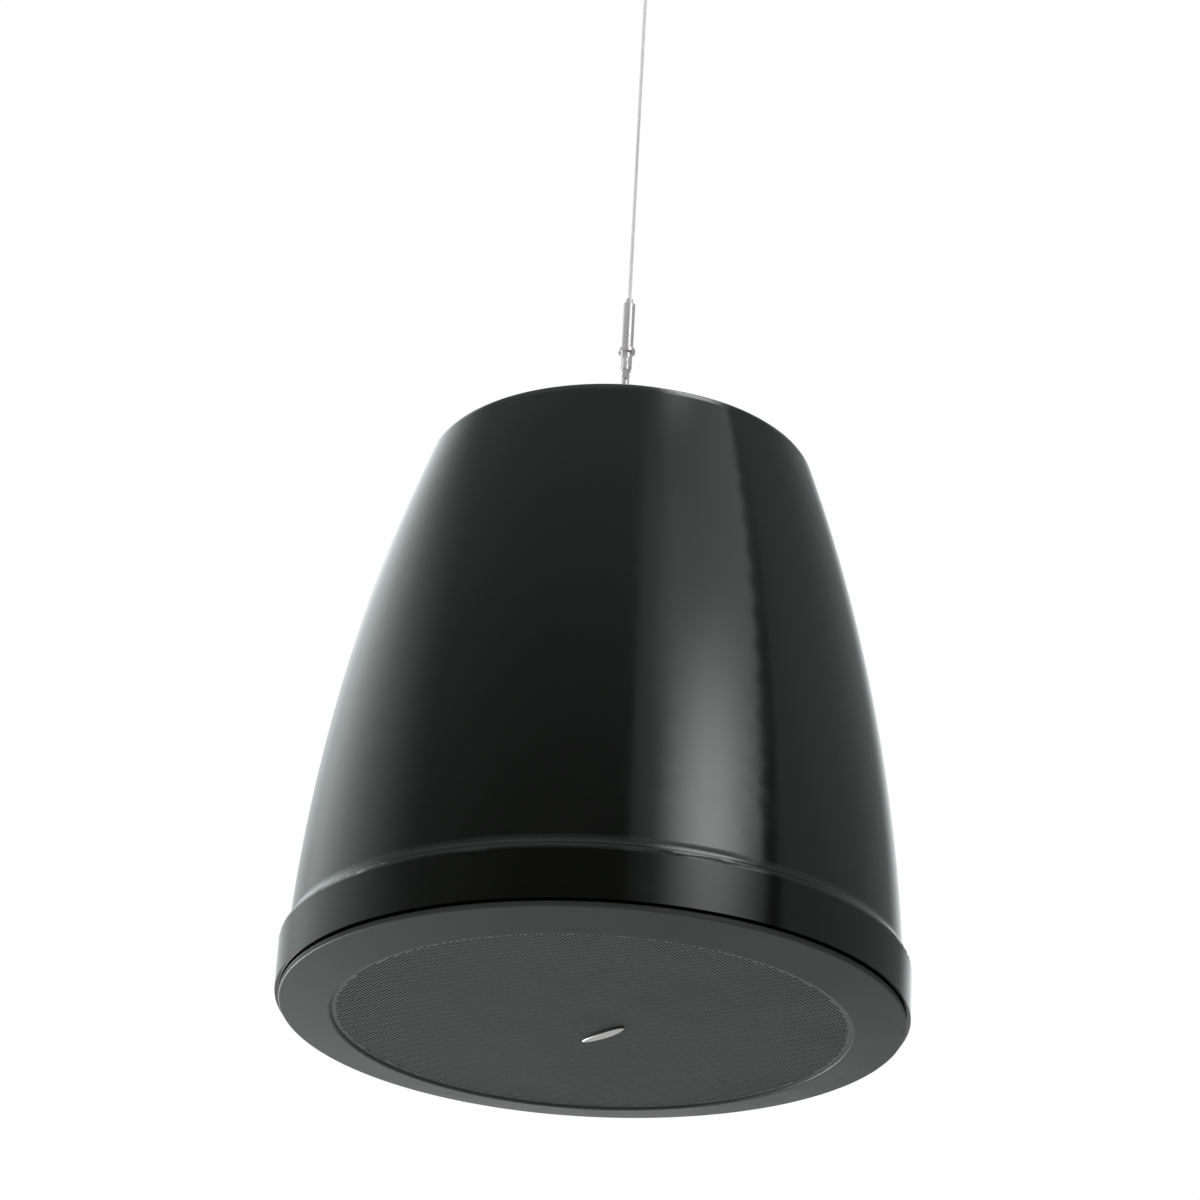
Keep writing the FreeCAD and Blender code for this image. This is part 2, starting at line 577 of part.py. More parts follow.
def make_enclosure_shell():
    """Mould the bell: band at the foot, bulging side, flat top, ledge, bosses and ribs inside."""
    body = new_body("enclosure_shell")
    revolve(body, [
        ("band_radius - wall", "band_foot"),
        ("band_radius", "band_foot"),
        ("band_radius", "band_height"),
        ("side_low_radius", "band_height", "side_arc"),
        ("side_top_radius", "shell_height"),
        ("0", "shell_height"),
        ("0", "shell_height - wall"),
        (side_at("(shell_height - wall)", "wall"), "shell_height - wall", "-(side_arc - wall)"),
        (side_at(LEDGE_HIGH, "wall"), LEDGE_HIGH),
        ("ledge_radius", LEDGE_HIGH),
        ("ledge_radius", "ledge_low"),
        ("band_radius - wall", "ledge_low"),
    ])
    round_edges(body, [("side_top_radius", "shell_height")], "shoulder_fillet")
    round_edges(body, [("band_radius", "band_height")], "band_edge")
    round_edges(body, [("side_low_radius", "band_height")], "foot_fillet")
    boss = pad(body, "XY_Plane", [("circle", "baffle_screw_ring", "0", "boss_radius")],
               "boss_height", LEDGE_HIGH)
    polar(body, [boss], "baffle_screw_count")
    rib_high = f"({LEDGE_HIGH} + rib_height)"
    rib = pad(body, "XZ_Plane", [[
        ("ledge_radius + 2", f"{LEDGE_HIGH} - 0.5"),
        (side_at(LEDGE_HIGH, "wall / 2"), f"{LEDGE_HIGH} - 0.5"),
        (side_at(rib_high, "wall / 2"), rib_high),
        (f"{side_at(rib_high, 'wall')} - 1", rib_high),
    ]], "rib_width", "0", True)
    polar(body, [rib], "baffle_screw_count")
    pilot = pocket(body, "XY_Plane", [("circle", "baffle_screw_ring", "0", "screw_radius + pilot_gap")],
                   "ledge_depth + boss_height", f"{LEDGE_HIGH} + boss_height")
    polar(body, [pilot], "baffle_screw_count")
    bolts = []
    for x in ("-bracket_screw_x", "bracket_screw_x"):
        for y in ("-bracket_screw_y", "bracket_screw_y"):
            bolts.append(("circle", x, y, "bolt_radius + screw_clearance"))
    pocket(body, "XY_Plane", bolts, "wall", "shell_height")
    cover_pilot = pocket(body, "XY_Plane",
                         [("circle", "cover_screw_ring", "0", "screw_radius + pilot_gap")],
                         "wall", "shell_height")
    polar(body, [cover_pilot], "cover_screw_count")
    return body


def make_damping_lining():
    """Line the inside of the bell with felt."""
    body = new_body("damping_lining")
    outside = "(wall + seat_gap)"
    inside = "(wall + seat_gap + lining_depth)"
    revolve(body, [
        (side_at("lining_low", inside), "lining_low"),
        (side_at("lining_low", outside), "lining_low", f"side_arc - {outside}"),
        (side_at("lining_high", outside), "lining_high"),
        (side_at("lining_high", inside), "lining_high", f"-(side_arc - {inside})"),
    ])
    return body


# Face


def make_grille_frame():
    """Mould the ring round the grille: sloping face, rebate for the sheet and skirt up to the baffle."""
    body = new_body("grille_frame")
    seat = "(grille_radius + lip_overlap)"
    skirt_inner = "(skirt_radius - skirt_wall)"
    revolve(body, [
        ("grille_radius", "-face_dish"),
        ("face_radius", "0"),
        ("face_radius", "ring_rim"),
        ("skirt_radius", "ring_rim"),
        ("skirt_radius", "baffle_low"),
        (skirt_inner, "baffle_low"),
        (skirt_inner, "ring_rim"),
        (seat, f"{SCRIM_LOW} + scrim_depth"),
        (seat, GRILLE_LOW),
        ("grille_radius", GRILLE_LOW),
    ])
    round_edges(body, [("grille_radius", "-face_dish")], "lip_round")
    round_edges(body, [("face_radius", "0")], "face_round")
    return body


def hexagon_wire(x, y, radius, height):
    """Make one hexagonal outline."""
    corners = []
    for step in range(7):
        angle = math.radians(30 + 60 * step)
        corners.append(Vector(x + radius * math.cos(angle), y + radius * math.sin(angle), height))
    return Part.makePolygon(corners)


def make_grille_sheet():
    """Punch the steel disc in rows of openings set like a honeycomb."""
    radius = value("grille_radius + lip_overlap - seat_gap")
    low = value(GRILLE_LOW)
    pitch = value("hole_pitch")
    opening = value("hole_width") / math.sqrt(3)
    reach = value("grille_radius") - opening - 1.0
    holes = []
    rows = int(reach / pitch * 2)
    for row in range(-rows, rows + 1):
        y = row * pitch * math.sqrt(3) / 2
        for column in range(-rows, rows + 1):
            x = (column + (row % 2) / 2) * pitch
            if math.hypot(x, y) < reach:
                holes.append(hexagon_wire(x, y, opening, low))
    rim = Part.Wire(Part.makeCircle(radius, Vector(0, 0, low)))
    face = Part.makeFace([rim] + holes, "Part::FaceMakerBullseye")
    sheet_piece = doc.addObject("Part::Feature", "grille_sheet")
    sheet_piece.Label = "grille_sheet"
    sheet_piece.Shape = face.extrude(Vector(0, 0, value("sheet_depth")))
    place(sheet_piece)
    finished.append(sheet_piece)
    return sheet_piece


def make_grille_scrim():
    """Cut the cloth disc that lies behind the grille."""
    body = new_body("grille_scrim")
    pad(body, "XY_Plane", [("circle", "0", "0", "grille_radius + lip_overlap - seat_gap")],
        "scrim_depth", SCRIM_LOW)
    return body


def make_badge_bar():
    """Make the plain bar that stands on the grille, turned in plan."""
    body = new_body("badge_bar")
    body.Placement = FreeCAD.Placement(Vector(), FreeCAD.Rotation(Vector(0, 0, 1), value("badge_turn")))
    place(body, "badge_right", "badge_back")
    pad(body, "XY_Plane", [box_outline("badge_length / 2", "badge_width / 2")],
        "badge_depth", f"{GRILLE_LOW} - badge_depth")
    return body


# Baffle


def make_baffle():
    """Mould the board that carries the driver, the ports and the switch."""
    body = new_body("baffle")
    pad(body, "XY_Plane", [
        ("circle", "0", "0", "band_radius - wall - baffle_gap"),
        ("circle", "0", "0", "cutout_radius"),
        ("circle", "port_ring", "0", "port_radius + port_wall + seat_gap"),
        ("circle", "-port_ring", "0", "port_radius + port_wall + seat_gap"),
        ("circle", "switch_place", "-switch_place", "bush_radius + seat_gap"),
    ], "baffle_depth", "baffle_low")
    fixing = pocket(body, "XY_Plane",
                    [("circle", "baffle_screw_ring", "0", "screw_radius + screw_clearance")],
                    "baffle_depth", BAFFLE_HIGH)
    polar(body, [fixing], "baffle_screw_count")
    driver_pilot = pocket(body, "XY_Plane",
                          [("circle", "driver_screw_ring", "0", "screw_radius + pilot_gap")],
                          "baffle_depth", BAFFLE_HIGH)
    polar(body, [driver_pilot], "driver_screw_count")
    return body


def make_baffle_gasket():
    """Cut the foam ring between the baffle and the ledge."""
    body = new_body("baffle_gasket")
    tube(body, "ledge_radius", "band_radius - wall - baffle_gap", BAFFLE_HIGH, "ledge_low")
    hole = pocket(body, "XY_Plane",
                  [("circle", "baffle_screw_ring", "0", "screw_radius + screw_clearance")],
                  f"ledge_low - {BAFFLE_HIGH}", "ledge_low")
    polar(body, [hole], "baffle_screw_count")
    return body


def make_baffle_screws():
    """Turn the ring of screws that hold the baffle."""
    body = new_body("baffle_screws")
    screw = turned_screw(body, "baffle_screw_ring", "baffle_low", "screw_head", "screw_head_depth",
                         "screw_radius", f"{LEDGE_HIGH} + boss_height - baffle_low - 1", False)
    polar(body, screw, "baffle_screw_count")
    return body


def make_port_tube(label, side):
    """Mould one port: a tube through the baffle with a rim on its face."""
    body = new_body(label, f"{side} * port_ring")
    outer = "(port_radius + port_wall)"
    revolve(body, [
        ("port_radius", "baffle_low - port_rim"),
        ("port_flange", "baffle_low - port_rim"),
        ("port_flange", "baffle_low"),
        (outer, "baffle_low"),
        (outer, "baffle_low + port_length"),
        ("port_radius", "baffle_low + port_length"),
    ])
    return body


# Driver


def make_driver_basket():
    """Press the basket: flange, windowed wall, spider's shelf and back."""
    body = new_body("driver_basket")
    shelf_high = "(shelf_height + basket_wall)"
    revolve(body, [
        ("basket_mouth", FLANGE_LOW),
        ("driver_radius", FLANGE_LOW),
        ("driver_radius", FLANGE_HIGH),
        ("basket_mouth + basket_wall", FLANGE_HIGH),
        ("basket_waist + basket_wall", "shelf_height"),
        ("basket_waist + basket_wall", shelf_high),
        ("basket_neck + basket_wall", shelf_high),
        ("basket_neck + basket_wall", PLATE_LOW),
        ("coil_gap_radius + 1", PLATE_LOW),
        ("coil_gap_radius + 1", "basket_back"),
        ("basket_neck", "basket_back"),
        ("basket_neck", "shelf_height"),
        ("basket_waist", "shelf_height"),
        ("basket_mouth", FLANGE_HIGH),
    ])
    window = pocket(body, "YZ_Plane",
                    [box_outline("window_width / 2", "(window_high - window_low) / 2", "0",
                                 "(window_high + window_low) / 2")],
                    "driver_radius", "driver_radius")
    polar(body, [window], "window_count")
    fixing = pocket(body, "XY_Plane",
                    [("circle", "driver_screw_ring", "0", "screw_radius + screw_clearance")],
                    "driver_flange", FLANGE_HIGH)
    polar(body, [fixing], "driver_screw_count")
    return body


def make_driver_gasket():
    """Cut the thin gasket between the basket and the baffle."""
    body = new_body("driver_gasket")
    tube(body, "cutout_radius", "driver_radius", FLANGE_HIGH, "baffle_low")
    hole = pocket(body, "XY_Plane",
                  [("circle", "driver_screw_ring", "0", "screw_radius + screw_clearance")],
                  "driver_gasket_depth", "baffle_low")
    polar(body, [hole], "driver_screw_count")
    return body


def make_driver_screws():
    """Turn the screws that hold the driver."""
    body = new_body("driver_screws")
    screw = turned_screw(body, "driver_screw_ring", FLANGE_LOW, "screw_head", "screw_head_depth",
                         "screw_radius", f"{BAFFLE_HIGH} - {FLANGE_LOW} - 1", False)
    polar(body, screw, "driver_screw_count")
    return body


def make_driver_terminals():
    """Fix the pair of solder tabs on the basket's back."""
    body = new_body("driver_terminals")
    side = "(basket_neck + basket_wall)"
    pad(body, "XY_Plane", [box_outline("3", "tab_width", f"{side} + 3.1", "0")],
        "basket_wall + 1", "basket_back - 6")
    return body


def make_surround():
    """Mould the half-roll rubber that joins the cone to the basket."""
    body = new_body("surround")
    low = f"({FLANGE_LOW} - surround_wall)"
    span = "(roll_radius - cone_radius)"
    roll = f"({span} / 2)"
    inner_roll = f"({roll} - surround_wall)"
    middle = "((roll_radius + cone_radius) / 2)"
    revolve(body, [
        ("cone_lip", low),
        ("cone_radius", low, roll),
        (middle, f"{low} - {roll}", roll),
        ("roll_radius", low),
        ("surround_radius", low),
        ("surround_radius", FLANGE_LOW),
        ("roll_radius - surround_wall", FLANGE_LOW),
        ("roll_radius - surround_wall", low, f"-{inner_roll}"),
        (middle, f"{low} - {inner_roll}", f"-{inner_roll}"),
        ("cone_radius + surround_wall", low),
        ("cone_radius + surround_wall", CONE_LIP_LOW),
        ("cone_lip", CONE_LIP_LOW),
    ])
    return body


def make_cone():
    """Press the flared cone, with its neck on the former and a flat lip at its edge."""
    body = new_body("cone")
    neck = "(former_bore + former_wall)"
    lip_high = f"({CONE_LIP_LOW} + cone_wall)"
    revolve(body, [
        ("cone_lip", CONE_LIP_LOW),
        ("cone_radius", CONE_LIP_LOW),
        ("cone_radius", lip_high),
        ("cone_lip + cone_wall", lip_high, "-cone_bulge"),
        (neck, "cone_neck + cone_wall"),
        (neck, "cone_neck - cone_wall", "cone_bulge"),
    ])
    return body


def make_coil_former():
    """Roll the thin former that carries the winding."""
    body = new_body("coil_former")
    tube(body, "former_bore", "former_bore + former_wall", "former_low", "former_high")
    return body


def make_voice_coil():
    """Wind the copper coil on the former."""
    body = new_body("voice_coil")
    inner = "(former_bore + former_wall)"
    tube(body, inner, f"{inner} + winding_wall", "former_high - winding_height", "former_high")
    return body


def make_spider():
    """Form the spider's shallow waves under its shelf."""
    body = new_body("spider")
    inner = "(former_bore + former_wall + spider_gap)"
    outer = "(basket_waist - spider_rim)"
    low = "(shelf_height - spider_depth)"
    step = f"(({outer} - {inner}) / 9)"
    crests = [(f"{inner} + {stop} * {step}", stop % 2) for stop in (2, 3, 4, 5, 6)]
    wave = "(basket_waist - spider_rim - basket_neck) / 4"
    revolve(body, [
        (inner, low),
        *[(radius, f"{low} - {dip} * {wave}") for radius, dip in crests],
        (outer, low),
        (outer, "shelf_height"),
        *[(radius, f"shelf_height - {dip} * {wave}") for radius, dip in reversed(crests)],
        (inner, "shelf_height"),
    ])
    return body


def make_magnet_top_plate():
    """Cut the steel plate in front of the magnet."""
    body = new_body("magnet_top_plate")
    tube(body, "coil_gap_radius", "top_plate_radius", PLATE_LOW, MAGNET_LOW)
    return body


def make_magnet_ring():
    """Make the ferrite ring."""
    body = new_body("magnet_ring")
    tube(body, "magnet_bore", "magnet_radius", MAGNET_LOW, MAGNET_HIGH)
    return body


def make_pole_piece():
    """Turn the back plate and its pole, drilled for the tweeter's post."""
    body = new_body("pole_piece")
    high = f"({MAGNET_HIGH} + back_plate_depth)"
    revolve(body, [
        ("post_radius + seat_gap", PLATE_LOW),
        ("pole_radius", PLATE_LOW),
        ("pole_radius", MAGNET_HIGH),
        ("top_plate_radius", MAGNET_HIGH),
        ("top_plate_radius", high),
        ("post_radius + seat_gap", high),
    ])
    return body


def make_tweeter_post():
    """Turn the post that runs from the pole to the tweeter."""
    body = new_body("tweeter_post")
    tube(body, "post_radius / 2", "post_radius", "tweeter_low + tweeter_depth", MAGNET_HIGH)
    return body


def make_tweeter_body():
    """Mould the tweeter's shallow horn round its dome."""
    body = new_body("tweeter_body")
    high = "(tweeter_low + tweeter_depth)"
    revolve(body, [
        ("0", "tweeter_low + dome_rise"),
        ("dome_radius + 0.5", "tweeter_low + dome_rise"),
        ("tweeter_radius", "tweeter_low"),
        ("tweeter_radius", "tweeter_low + tweeter_depth / 2"),
        ("tweeter_radius * 0.7", high),
        ("0", high),
    ])
    return body


def make_tweeter_dome():
    """Form the tweeter's dome."""
    body = new_body("tweeter_dome")
    base = "(tweeter_low + dome_rise)"
    radius = "((dome_radius * dome_radius + dome_rise * dome_rise) / (2 * dome_rise))"
    revolve(body, [
        ("0", f"{base} - dome_rise", radius),
        ("dome_radius", base),
        ("0", base),
    ])
    return body


# Parts on the baffle


def make_tap_switch():
    """Make the rotary switch behind the baffle, with its bush through it."""
    body = new_body("tap_switch", "switch_place", "-switch_place")
    bore = "(shaft_radius + shaft_fit)"
    revolve(body, [
        (bore, "baffle_low"),
        ("bush_radius", "baffle_low"),
        ("bush_radius", BAFFLE_HIGH),
        ("switch_radius", BAFFLE_HIGH),
        ("switch_radius", f"{BAFFLE_HIGH} + switch_height"),
        (bore, f"{BAFFLE_HIGH} + switch_height"),
    ])
    return body


def make_tap_shaft():
    """Turn the switch's shaft."""
    body = new_body("tap_shaft", "switch_place", "-switch_place")
    pad(body, "XY_Plane", [("circle", "0", "0", "shaft_radius")],
        f"{BAFFLE_HIGH} + switch_height - knob_low - 2", "knob_low + 2")
    return body


def make_tap_knob():
    """Mould the knob with flutes and a pointer rib on its front."""
    body = new_body("tap_knob", "switch_place", "-switch_place")
    bore = "(shaft_radius + seat_gap)"
    revolve(body, [
        ("0", "knob_low"),
        ("knob_radius", "knob_low"),
        ("knob_radius", "knob_low + knob_height"),
        (bore, "knob_low + knob_height"),
        (bore, "knob_low + 2"),
        ("0", "knob_low + 2"),
    ])
    flute = pocket(body, "XY_Plane", [("circle", "knob_radius + 0.6", "0", "1.5")],
                   "knob_height", "knob_low + knob_height")
    polar(body, [flute], "knob_flutes")
    pad(body, "XY_Plane", [box_outline("1", "knob_radius / 2 - 1", "0", "knob_radius / 2 - 1")],
        "1.5", "knob_low - 1.5")
    return body


def make_transformer_core():
    """Stack the transformer's laminations: a frame with a middle limb."""
    body = new_body("transformer_core", "0", "-transformer_place")
    window = "(transformer_width / 2 - 2 * transformer_limb)"
    centre = f"(transformer_width / 2 - transformer_limb - {window} / 2)"
    middle = f"{BAFFLE_HIGH} + transformer_height / 2"
    pad(body, "XZ_Plane", [box_outline("transformer_width / 2", "transformer_height / 2", "0", middle)],
        "transformer_stack", "0", True)
    pocket(body, "XZ_Plane", [
        box_outline(f"{window} / 2", "(transformer_height / 2 - transformer_limb)", f"{side}{centre}", middle)
        for side in ("-", "")
    ], "transformer_stack + 2", "0", True)
    return body


def make_transformer_coil():
    """Wind the coil round the middle limb."""
    body = new_body("transformer_coil", "0", "-transformer_place")
    half_limb = "transformer_limb"
    half_stack = "transformer_stack / 2"
    window = "(transformer_width / 2 - 2 * transformer_limb)"
    pad(body, "XY_Plane", [
        box_outline(f"({half_limb} + {window} - 0.3)", f"({half_stack} + winding_reach)"),
        box_outline(f"({half_limb} + seat_gap)", f"({half_stack} + seat_gap)"),
    ], "transformer_height - 2 * transformer_limb - 0.2", f"{BAFFLE_HIGH} + transformer_limb + 0.1")
    return body


def make_transformer_bracket():
    """Fold the strap that holds the transformer down, with a foot at each side."""
    body = new_body("transformer_bracket", "0", "-transformer_place")
    inner = "(transformer_width / 2 + seat_gap)"
    outer = f"({inner} + bracket_wall)"
    foot = f"({outer} + bracket_foot)"
    roof = f"({BAFFLE_HIGH} + transformer_height + seat_gap)"
    pad(body, "XZ_Plane", [[
        (f"-{foot}", BAFFLE_HIGH),
        (f"-{inner}", BAFFLE_HIGH),
        (f"-{inner}", roof),
        (inner, roof),
        (inner, BAFFLE_HIGH),
        (foot, BAFFLE_HIGH),
        (foot, f"{BAFFLE_HIGH} + bracket_wall"),
        (outer, f"{BAFFLE_HIGH} + bracket_wall"),
        (outer, f"{roof} + bracket_wall"),
        (f"-{outer}", f"{roof} + bracket_wall"),
        (f"-{outer}", f"{BAFFLE_HIGH} + bracket_wall"),
        (f"-{foot}", f"{BAFFLE_HIGH} + bracket_wall"),
    ]], "transformer_stack * 0.6", "0", True)
    return body


BOARD_LOW = f"({BAFFLE_HIGH} + board_lift)"
BOARD_HIGH = f"({BOARD_LOW} + board_depth)"


def make_crossover_board():
    """Cut the circuit board of the crossover."""
    body = new_body("crossover_board", "0", "board_place")
    pad(body, "XY_Plane", [box_outline("board_length / 2", "board_width / 2")], "board_depth", BOARD_LOW)
    return body


def make_board_spacers():
    """Stand the board on four spacers."""
    body = new_body("board_spacers", "0", "board_place")
    reach_x = "(board_length / 2 - stud_radius - 1)"
    reach_y = "(board_width / 2 - stud_radius - 1)"
    pad(body, "XY_Plane", [
        ("circle", f"{x}{reach_x}", f"{y}{reach_y}", "stud_radius") for x in ("-", "") for y in ("-", "")
    ], "board_lift", BAFFLE_HIGH)
    return body


def make_crossover_coil():
    """Wind the crossover's air-cored coil."""
    body = new_body("crossover_coil", "-board_length / 4", "board_place")
    tube(body, "inductor_radius / 2", "inductor_radius", BOARD_HIGH, f"{BOARD_HIGH} + inductor_height")
    return body


def make_crossover_capacitors():
    """Stand the two capacitors on the board."""
    body = new_body("crossover_capacitors", "board_length / 4", "board_place")
    pad(body, "XY_Plane", [
        ("circle", "-(capacitor_radius + 1)", "capacitor_radius / 2", "capacitor_radius"),
        ("circle", "capacitor_radius + 1", "capacitor_radius / 2", "capacitor_radius"),
    ], "capacitor_height", BOARD_HIGH)
    return body


def make_crossover_resistor():
    """Lay the square power resistor on the board."""
    body = new_body("crossover_resistor", "board_length / 4", "board_place - board_width / 2 + 6")
    pad(body, "XY_Plane", [box_outline("resistor_length / 2", "3")], "6", BOARD_HIGH)
    return body


# Top


def make_load_bracket():
    """Weld the steel bracket: base on the bell's top, main lug and safety lug."""
    body = new_body("load_bracket")
    pad(body, "XY_Plane", [box_outline("bracket_half", "bracket_width / 2")],
        "bracket_depth", "shell_height")
    for x, half, hole, radius in (
        ("0", "lug_half_width", LUG_HOLE, "lug_hole"),
        ("safety_place", "safety_half_width", SAFETY_HOLE, "safety_hole"),
    ):
        pad(body, "XZ_Plane", [[
            (f"{x} - {half}", f"{BRACKET_HIGH} - 1"),
            (f"{x} + {half}", f"{BRACKET_HIGH} - 1"),
            (f"{x} + {half}", hole, half),
            (x, f"{hole} + {half}", half),
            (f"{x} - {half}", hole),
        ]], "lug_depth", "0", True)
        pocket(body, "XZ_Plane", [("circle", x, hole, radius)], "lug_depth + 2", "0", True)
    holes = []
    for x in ("-bracket_screw_x", "bracket_screw_x"):
        for y in ("-bracket_screw_y", "bracket_screw_y"):
            holes.append(("circle", x, y, "bolt_radius + screw_clearance"))
    pocket(body, "XY_Plane", holes, "bracket_depth", BRACKET_HIGH)
    return body


def make_backing_plate():
    """Cut the tapped plate that spreads the load under the bell's top."""
    body = new_body("backing_plate")
    pad(body, "XY_Plane", [box_outline("bracket_half", "bracket_width / 2")],
        "bracket_depth", BACKING_LOW)
    holes = []
    for x in ("-bracket_screw_x", "bracket_screw_x"):
        for y in ("-bracket_screw_y", "bracket_screw_y"):
            holes.append(("circle", x, y, "bolt_radius + pilot_gap"))
    pocket(body, "XY_Plane", holes, "bracket_depth", f"{BACKING_LOW} + bracket_depth")
    return body


def make_bracket_screws():
    """Turn the four screws that clamp the bell's top between bracket and backing plate."""
    body = new_body("bracket_screws")
    places = []
    for x in ("-bracket_screw_x", "bracket_screw_x"):
        for y in ("-bracket_screw_y", "bracket_screw_y"):
            places.append((x, y))
    shank = f"({BRACKET_HIGH} - {BACKING_LOW} + 2)"
    pad(body, "XY_Plane", [("circle", x, y, "bolt_radius") for x, y in places],
        shank, f"{BRACKET_HIGH} - {shank}")
    pad(body, "XY_Plane", [("circle", x, y, "bolt_head") for x, y in places],
        "bolt_head_depth", BRACKET_HIGH)
    return body


def make_top_cover():
    """Mould the round cover: rounded edge, screw posts, slots for the lugs and hole for the gland."""
    body = new_body("top_cover")
    roof = f"({COVER_HIGH} - cover_wall)"
    revolve(body, [
        ("cover_radius - cover_wall", COVER_LOW),
        ("cover_radius", COVER_LOW),
        ("cover_radius", COVER_HIGH),
        ("0", COVER_HIGH),
        ("0", roof),
        ("cover_radius - cover_wall", roof),
    ])
    round_edges(body, [("cover_radius", COVER_HIGH)], "cover_round")
    post = pad(body, "XY_Plane", [("circle", "cover_screw_ring", "0", "cover_boss")],
               f"{roof} - {COVER_LOW} + 0.5", COVER_LOW)
    polar(body, [post], "cover_screw_count")
    hole = pocket(body, "XY_Plane",
                  [("circle", "cover_screw_ring", "0", "screw_radius + screw_clearance")],
                  "cover_height", COVER_HIGH)
    polar(body, [hole], "cover_screw_count")
    sink = pocket(body, "XY_Plane", [("circle", "cover_screw_ring", "0", "screw_head + 0.2")],
                  "screw_head_depth", COVER_HIGH)
    polar(body, [sink], "cover_screw_count")
    slot_half = "(lug_depth / 2 + slot_gap)"
    pocket(body, "XY_Plane", [
        box_outline("(lug_half_width + slot_gap)", slot_half),
        box_outline("(safety_half_width + slot_gap)", slot_half, "safety_place"),
        ("circle", "-gland_place", "0", "gland_thread + seat_gap"),
    ], "cover_wall", COVER_HIGH)
    return body


def make_top_cover_gasket():
    """Cut the seal under the cover's edge."""
    body = new_body("top_cover_gasket")
    tube(body, "cover_radius - cover_wall - 1", "cover_radius", "shell_height", COVER_LOW)
    return body


def make_top_cover_screws():
    """Turn the screws that hold the cover."""
    body = new_body("top_cover_screws")
    screw = turned_screw(body, "cover_screw_ring", f"({COVER_HIGH} - screw_head_depth)",
                         "screw_head", "screw_head_depth", "screw_radius",
                         f"({COVER_HIGH} - screw_head_depth - shell_height + wall)", True)
    polar(body, screw, "cover_screw_count")
    return body


def make_cable_gland():
    """Turn the gland: thread through the cover, hexagon and domed nut, bored for the cable."""
    body = new_body("cable_gland", "-gland_place")
    foot = f"({COVER_HIGH} - cover_wall - gland_nut_depth - 0.5)"
    pad(body, "XY_Plane", [hexagon("gland_hex")], "gland_height", COVER_HIGH)
    pad(body, "XY_Plane", [("circle", "0", "0", "gland_thread")], f"{COVER_HIGH} - {foot}", foot)
    dome = f"({COVER_HIGH} + gland_height + gland_dome)"
    revolve(body, [
        ("0", f"{COVER_HIGH} + gland_height - 0.5"),
        ("gland_thread", f"{COVER_HIGH} + gland_height - 0.5"),
        ("gland_thread", f"{dome} - gland_dome / 2", "gland_dome / 2 + 1"),
        ("gland_bore + 1.5", dome),
        ("0", dome),
    ])
    pocket(body, "XY_Plane", [("circle", "0", "0", "gland_bore")], f"{dome} - {foot} + 1", f"{dome} + 0.5")
    return body


def make_gland_nut():
    """Cut the gland's nut inside the cover."""
    body = new_body("gland_nut", "-gland_place")
    pad(body, "XY_Plane", [hexagon("(gland_hex + 1)"), ("circle", "0", "0", "gland_thread + seat_gap")],
        "gland_nut_depth", f"{COVER_HIGH} - cover_wall - gland_nut_depth")
    return body


def make_terminal_block():
    """Mould the terminal block, with a slot for each of four wires."""
    body = new_body("terminal_block", "0", "terminal_place")
    pad(body, "XY_Plane", [box_outline("terminal_length / 2", "terminal_width / 2")],
        "terminal_height", "shell_height")
    ways = []
    for way in (-3, -1, 1, 3):
        ways.append(box_outline("terminal_length / 12", "2", f"{way} * terminal_length / 8",
                                "-terminal_width / 2 + 2"))
    pocket(body, "XY_Plane", ways, "terminal_height / 2", "shell_height + terminal_height")
    return body


# Suspension


def draw_path(sketch, corners):
    """Draw an open path in the way that draw_loop draws a closed one."""
    points = [Vector(value(corner[0]), value(corner[1]), 0) for corner in corners]
    for corner, start, end in zip(corners, points, points[1:]):
        if len(corner) == 3:
            curve = Part.Arc(start, arc_middle(start, end, value(corner[2])), end)
        else:
            curve = Part.LineSegment(start, end)
        edge = sketch.addGeometry(curve, False)
        near = (sketch.getPoint(edge, 1) - start).Length < (sketch.getPoint(edge, 1) - end).Length
        ends = ((1, corner), (2, corners[corners.index(corner) + 1]))
        if not near:
            ends = ((2, corner), (1, corners[corners.index(corner) + 1]))
        for which, place_text in ends:
            for kind, text in (("DistanceX", place_text[0]), ("DistanceY", place_text[1])):
                rule = sketch.addConstraint(Sketcher.Constraint(kind, -1, 1, edge, which, value(text)))
                sketch.setExpression(f"Constraints[{rule}]", bound(text))
        if len(corner) == 3:
            size = abs(value(corner[2]))
            rule = sketch.addConstraint(Sketcher.Constraint("Radius", edge, size))
            sketch.setExpression(f"Constraints[{rule}]", bound(f"abs({corner[2]})"))


